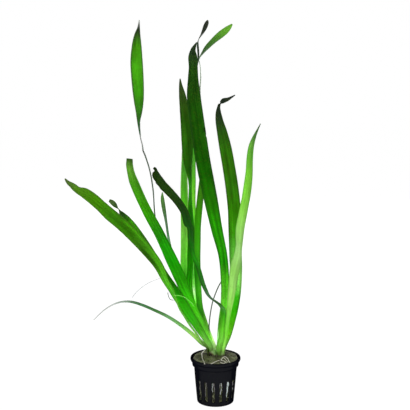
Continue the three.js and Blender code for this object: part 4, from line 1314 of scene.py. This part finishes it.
fineRoot = {"count": 22, "length": (5, 14), "radius": (0.1, 0.2), "limit": 23.5, "steps": 12}
fineRoots = []
for i in range(fineRoot["count"]):
    crown = crowns[draw.choice(["left", "left", "right"])]
    angle = draw.uniform(0, 2 * math.pi)
    start = towards(angle)
    spot = crown["centre"] + Vector((start.x * crown["foot"][0], start.y * crown["foot"][1], 0))
    heading, points = angle + draw.gauss(0, 0.5), []
    length, thick = draw.uniform(*fineRoot["length"]), draw.uniform(*fineRoot["radius"])
    for j in range(fineRoot["steps"]):
        spot = keepInside(spot, fineRoot["limit"])
        points.append((onWool(spot, 0.35 + 0.4 * math.sin(j * 1.3 + i)), thick * (1 - j / 16)))
        heading += draw.gauss(0, 0.35)
        spot = spot + towards(heading) * length / fineRoot["steps"]
    fineRoots.append((points, draw.uniform(0.1, 0.6)))
layStrands("fine_roots", fineRoots, 4, rootFinish, "pale_root")

# Roots that run down the plug's side and show through the slots: degrees from the front, height of
# the upper end, height of the lower end, radius, tone
slotRoots = [
    (-7, 29, 9, 0.5, 0.5), (-5, 30, 17, 0.35, 0.9), (12, 29, 8, 0.4, 0.55), (17, 28, 14, 0.45, 0.85),
    (34.5, 30, 6, 0.9, 1.0), (38, 29, 8, 0.9, 1.0), (41, 28.5, 14, 0.6, 1.0), (59, 29, 12, 0.45, 0.7),
    (-29, 28, 10, 0.4, 0.45), (-52, 29, 12, 0.4, 0.4), (-68, 28, 8, 0.35, 0.35), (84, 28, 9, 0.4, 0.6),
]
sideRoot = {"onBack": 26, "steps": 19}
for i in range(sideRoot["onBack"]):
    slotRoots.append((draw.uniform(95, 285), draw.uniform(24, 30), draw.uniform(4, 14),
                      draw.uniform(0.25, 0.5), draw.uniform(0.3, 0.95)))
sideRoots, steps = [], sideRoot["steps"]
for degrees, high, low, thick, tone in slotRoots:
    angle, drift, points = math.radians(degrees), draw.gauss(0, 0.006), []
    for j in range(steps + 1):
        height = high + (low - high) * j / steps
        reach = woolRadius(height) + 0.25 + 0.35 * math.sin(j * 0.8 + degrees)
        points.append((onSide(angle, reach, height), thick))
        angle += drift + draw.gauss(0, 0.012)
    sideRoots.append((points, tone))
layStrands("side_roots", sideRoots, 6, wetRootFinish, "pale_root")
print("roots laid")


# The two stems.

stemForm = {
    "sheath": 0.4,  # how thick a sheath is
    "core": 50.6,  # height of the core's middle
    "coreHalf": 4.6,  # half its height
    "tints": [(0.0, "2c2212"), (0.13, "5a502e"), (0.3, "869454"), (0.55, "a0c67c"), (1.0, "8ccc5c")],
}


def makeStemFinish():
    material, tree = newMaterial("pale_stem_base")
    place = objectPlace(tree)
    x, y, z = splitVector(tree, place)
    stretched = addNode(tree, "ShaderNodeMapping", {"Vector": place, "Scale": (1, 1, 0.12)}).outputs[0]
    lines = addNoise(tree, stretched, 1500.0, 3.0)
    patches = addNoise(tree, place, 260.0, 3.0)
    rise = plus(tree, remap(tree, z, 0.0487, 0.056), remap(tree, patches, 0.3, 0.7, -0.16, 0.16))
    brownSide = remap(tree, x, -0.0005, -0.0065, 0.0, 0.8)
    colour = blendTints(tree, calculate(tree, "SUBTRACT", rise, brownSide), stemForm["tints"])
    colour = brighten(tree, colour, remap(tree, lines, 0.3, 0.7, 0.72, 1.18))
    finishFlesh(tree, 0.3, {
        "Base Color": colour, "Roughness": remap(tree, patches, 0.3, 0.7, 0.35, 0.5),
        "Normal": addBump(tree, lines, 0.6, 0.0003),
    }, {"Color": colour})
    return material


def growCrown(crown, finish):
    bm = bmesh.new()
    (footX, footY), (topX, topY) = crown["foot"], crown["top"]
    for start, end, low, high, out in crown["sheaths"]:
        made = bmesh.ops.create_grid(bm, x_segments=28, y_segments=14, size=0.5)["verts"]
        for vert in made:
            around, rise = vert.co.x + 0.5, vert.co.y + 0.5
            angle = math.radians(start + (end - start) * around)
            arch = math.sin(math.pi * around) ** 0.6  # the sheath's free edge slopes down to its ends
            height = low + (high - low) * rise * (0.45 + 0.55 * arch)
            bulge = out + 0.35 * math.sin(math.pi * rise) - 0.5 * rise * rise
            share = (height - low) / (high - low)
            wobble = 0.25 * noise.noise(Vector((angle * 2, height * 0.2, crown["seed"])))
            x = (footX + (topX - footX) * share + bulge + wobble) * math.cos(angle)
            y = (footY + (topY - footY) * share + bulge + wobble) * math.sin(angle)
            vert.co = (crown["centre"] + Vector((x, y, height))) * mm
        faces = list({face for vert in made for face in vert.link_faces})
        bmesh.ops.recalc_face_normals(bm, faces=faces)
        bmesh.ops.solidify(bm, geom=faces, thickness=stemForm["sheath"] * mm)
    core = bmesh.ops.create_uvsphere(bm, u_segments=32, v_segments=18, radius=1)["verts"]
    for vert in core:
        x, y, z = vert.co
        wobble = 1 + 0.06 * noise.noise(Vector((x * 2.5, y * 2.5, z + crown["seed"])))
        height = stemForm["core"] + z * stemForm["coreHalf"]
        vert.co = (crown["centre"] + Vector((x * footX * wobble, y * footY * wobble, height))) * mm
    bmesh.ops.recalc_face_normals(bm, faces=bm.faces)
    newPiece(crown["node"] + "_sheaths", bm, [finish], "pale_stem", [crown["node"]])


stemFinish = makeStemFinish()
for crown in crowns.values():
    growCrown(crown, stemFinish)
print("stems grown")
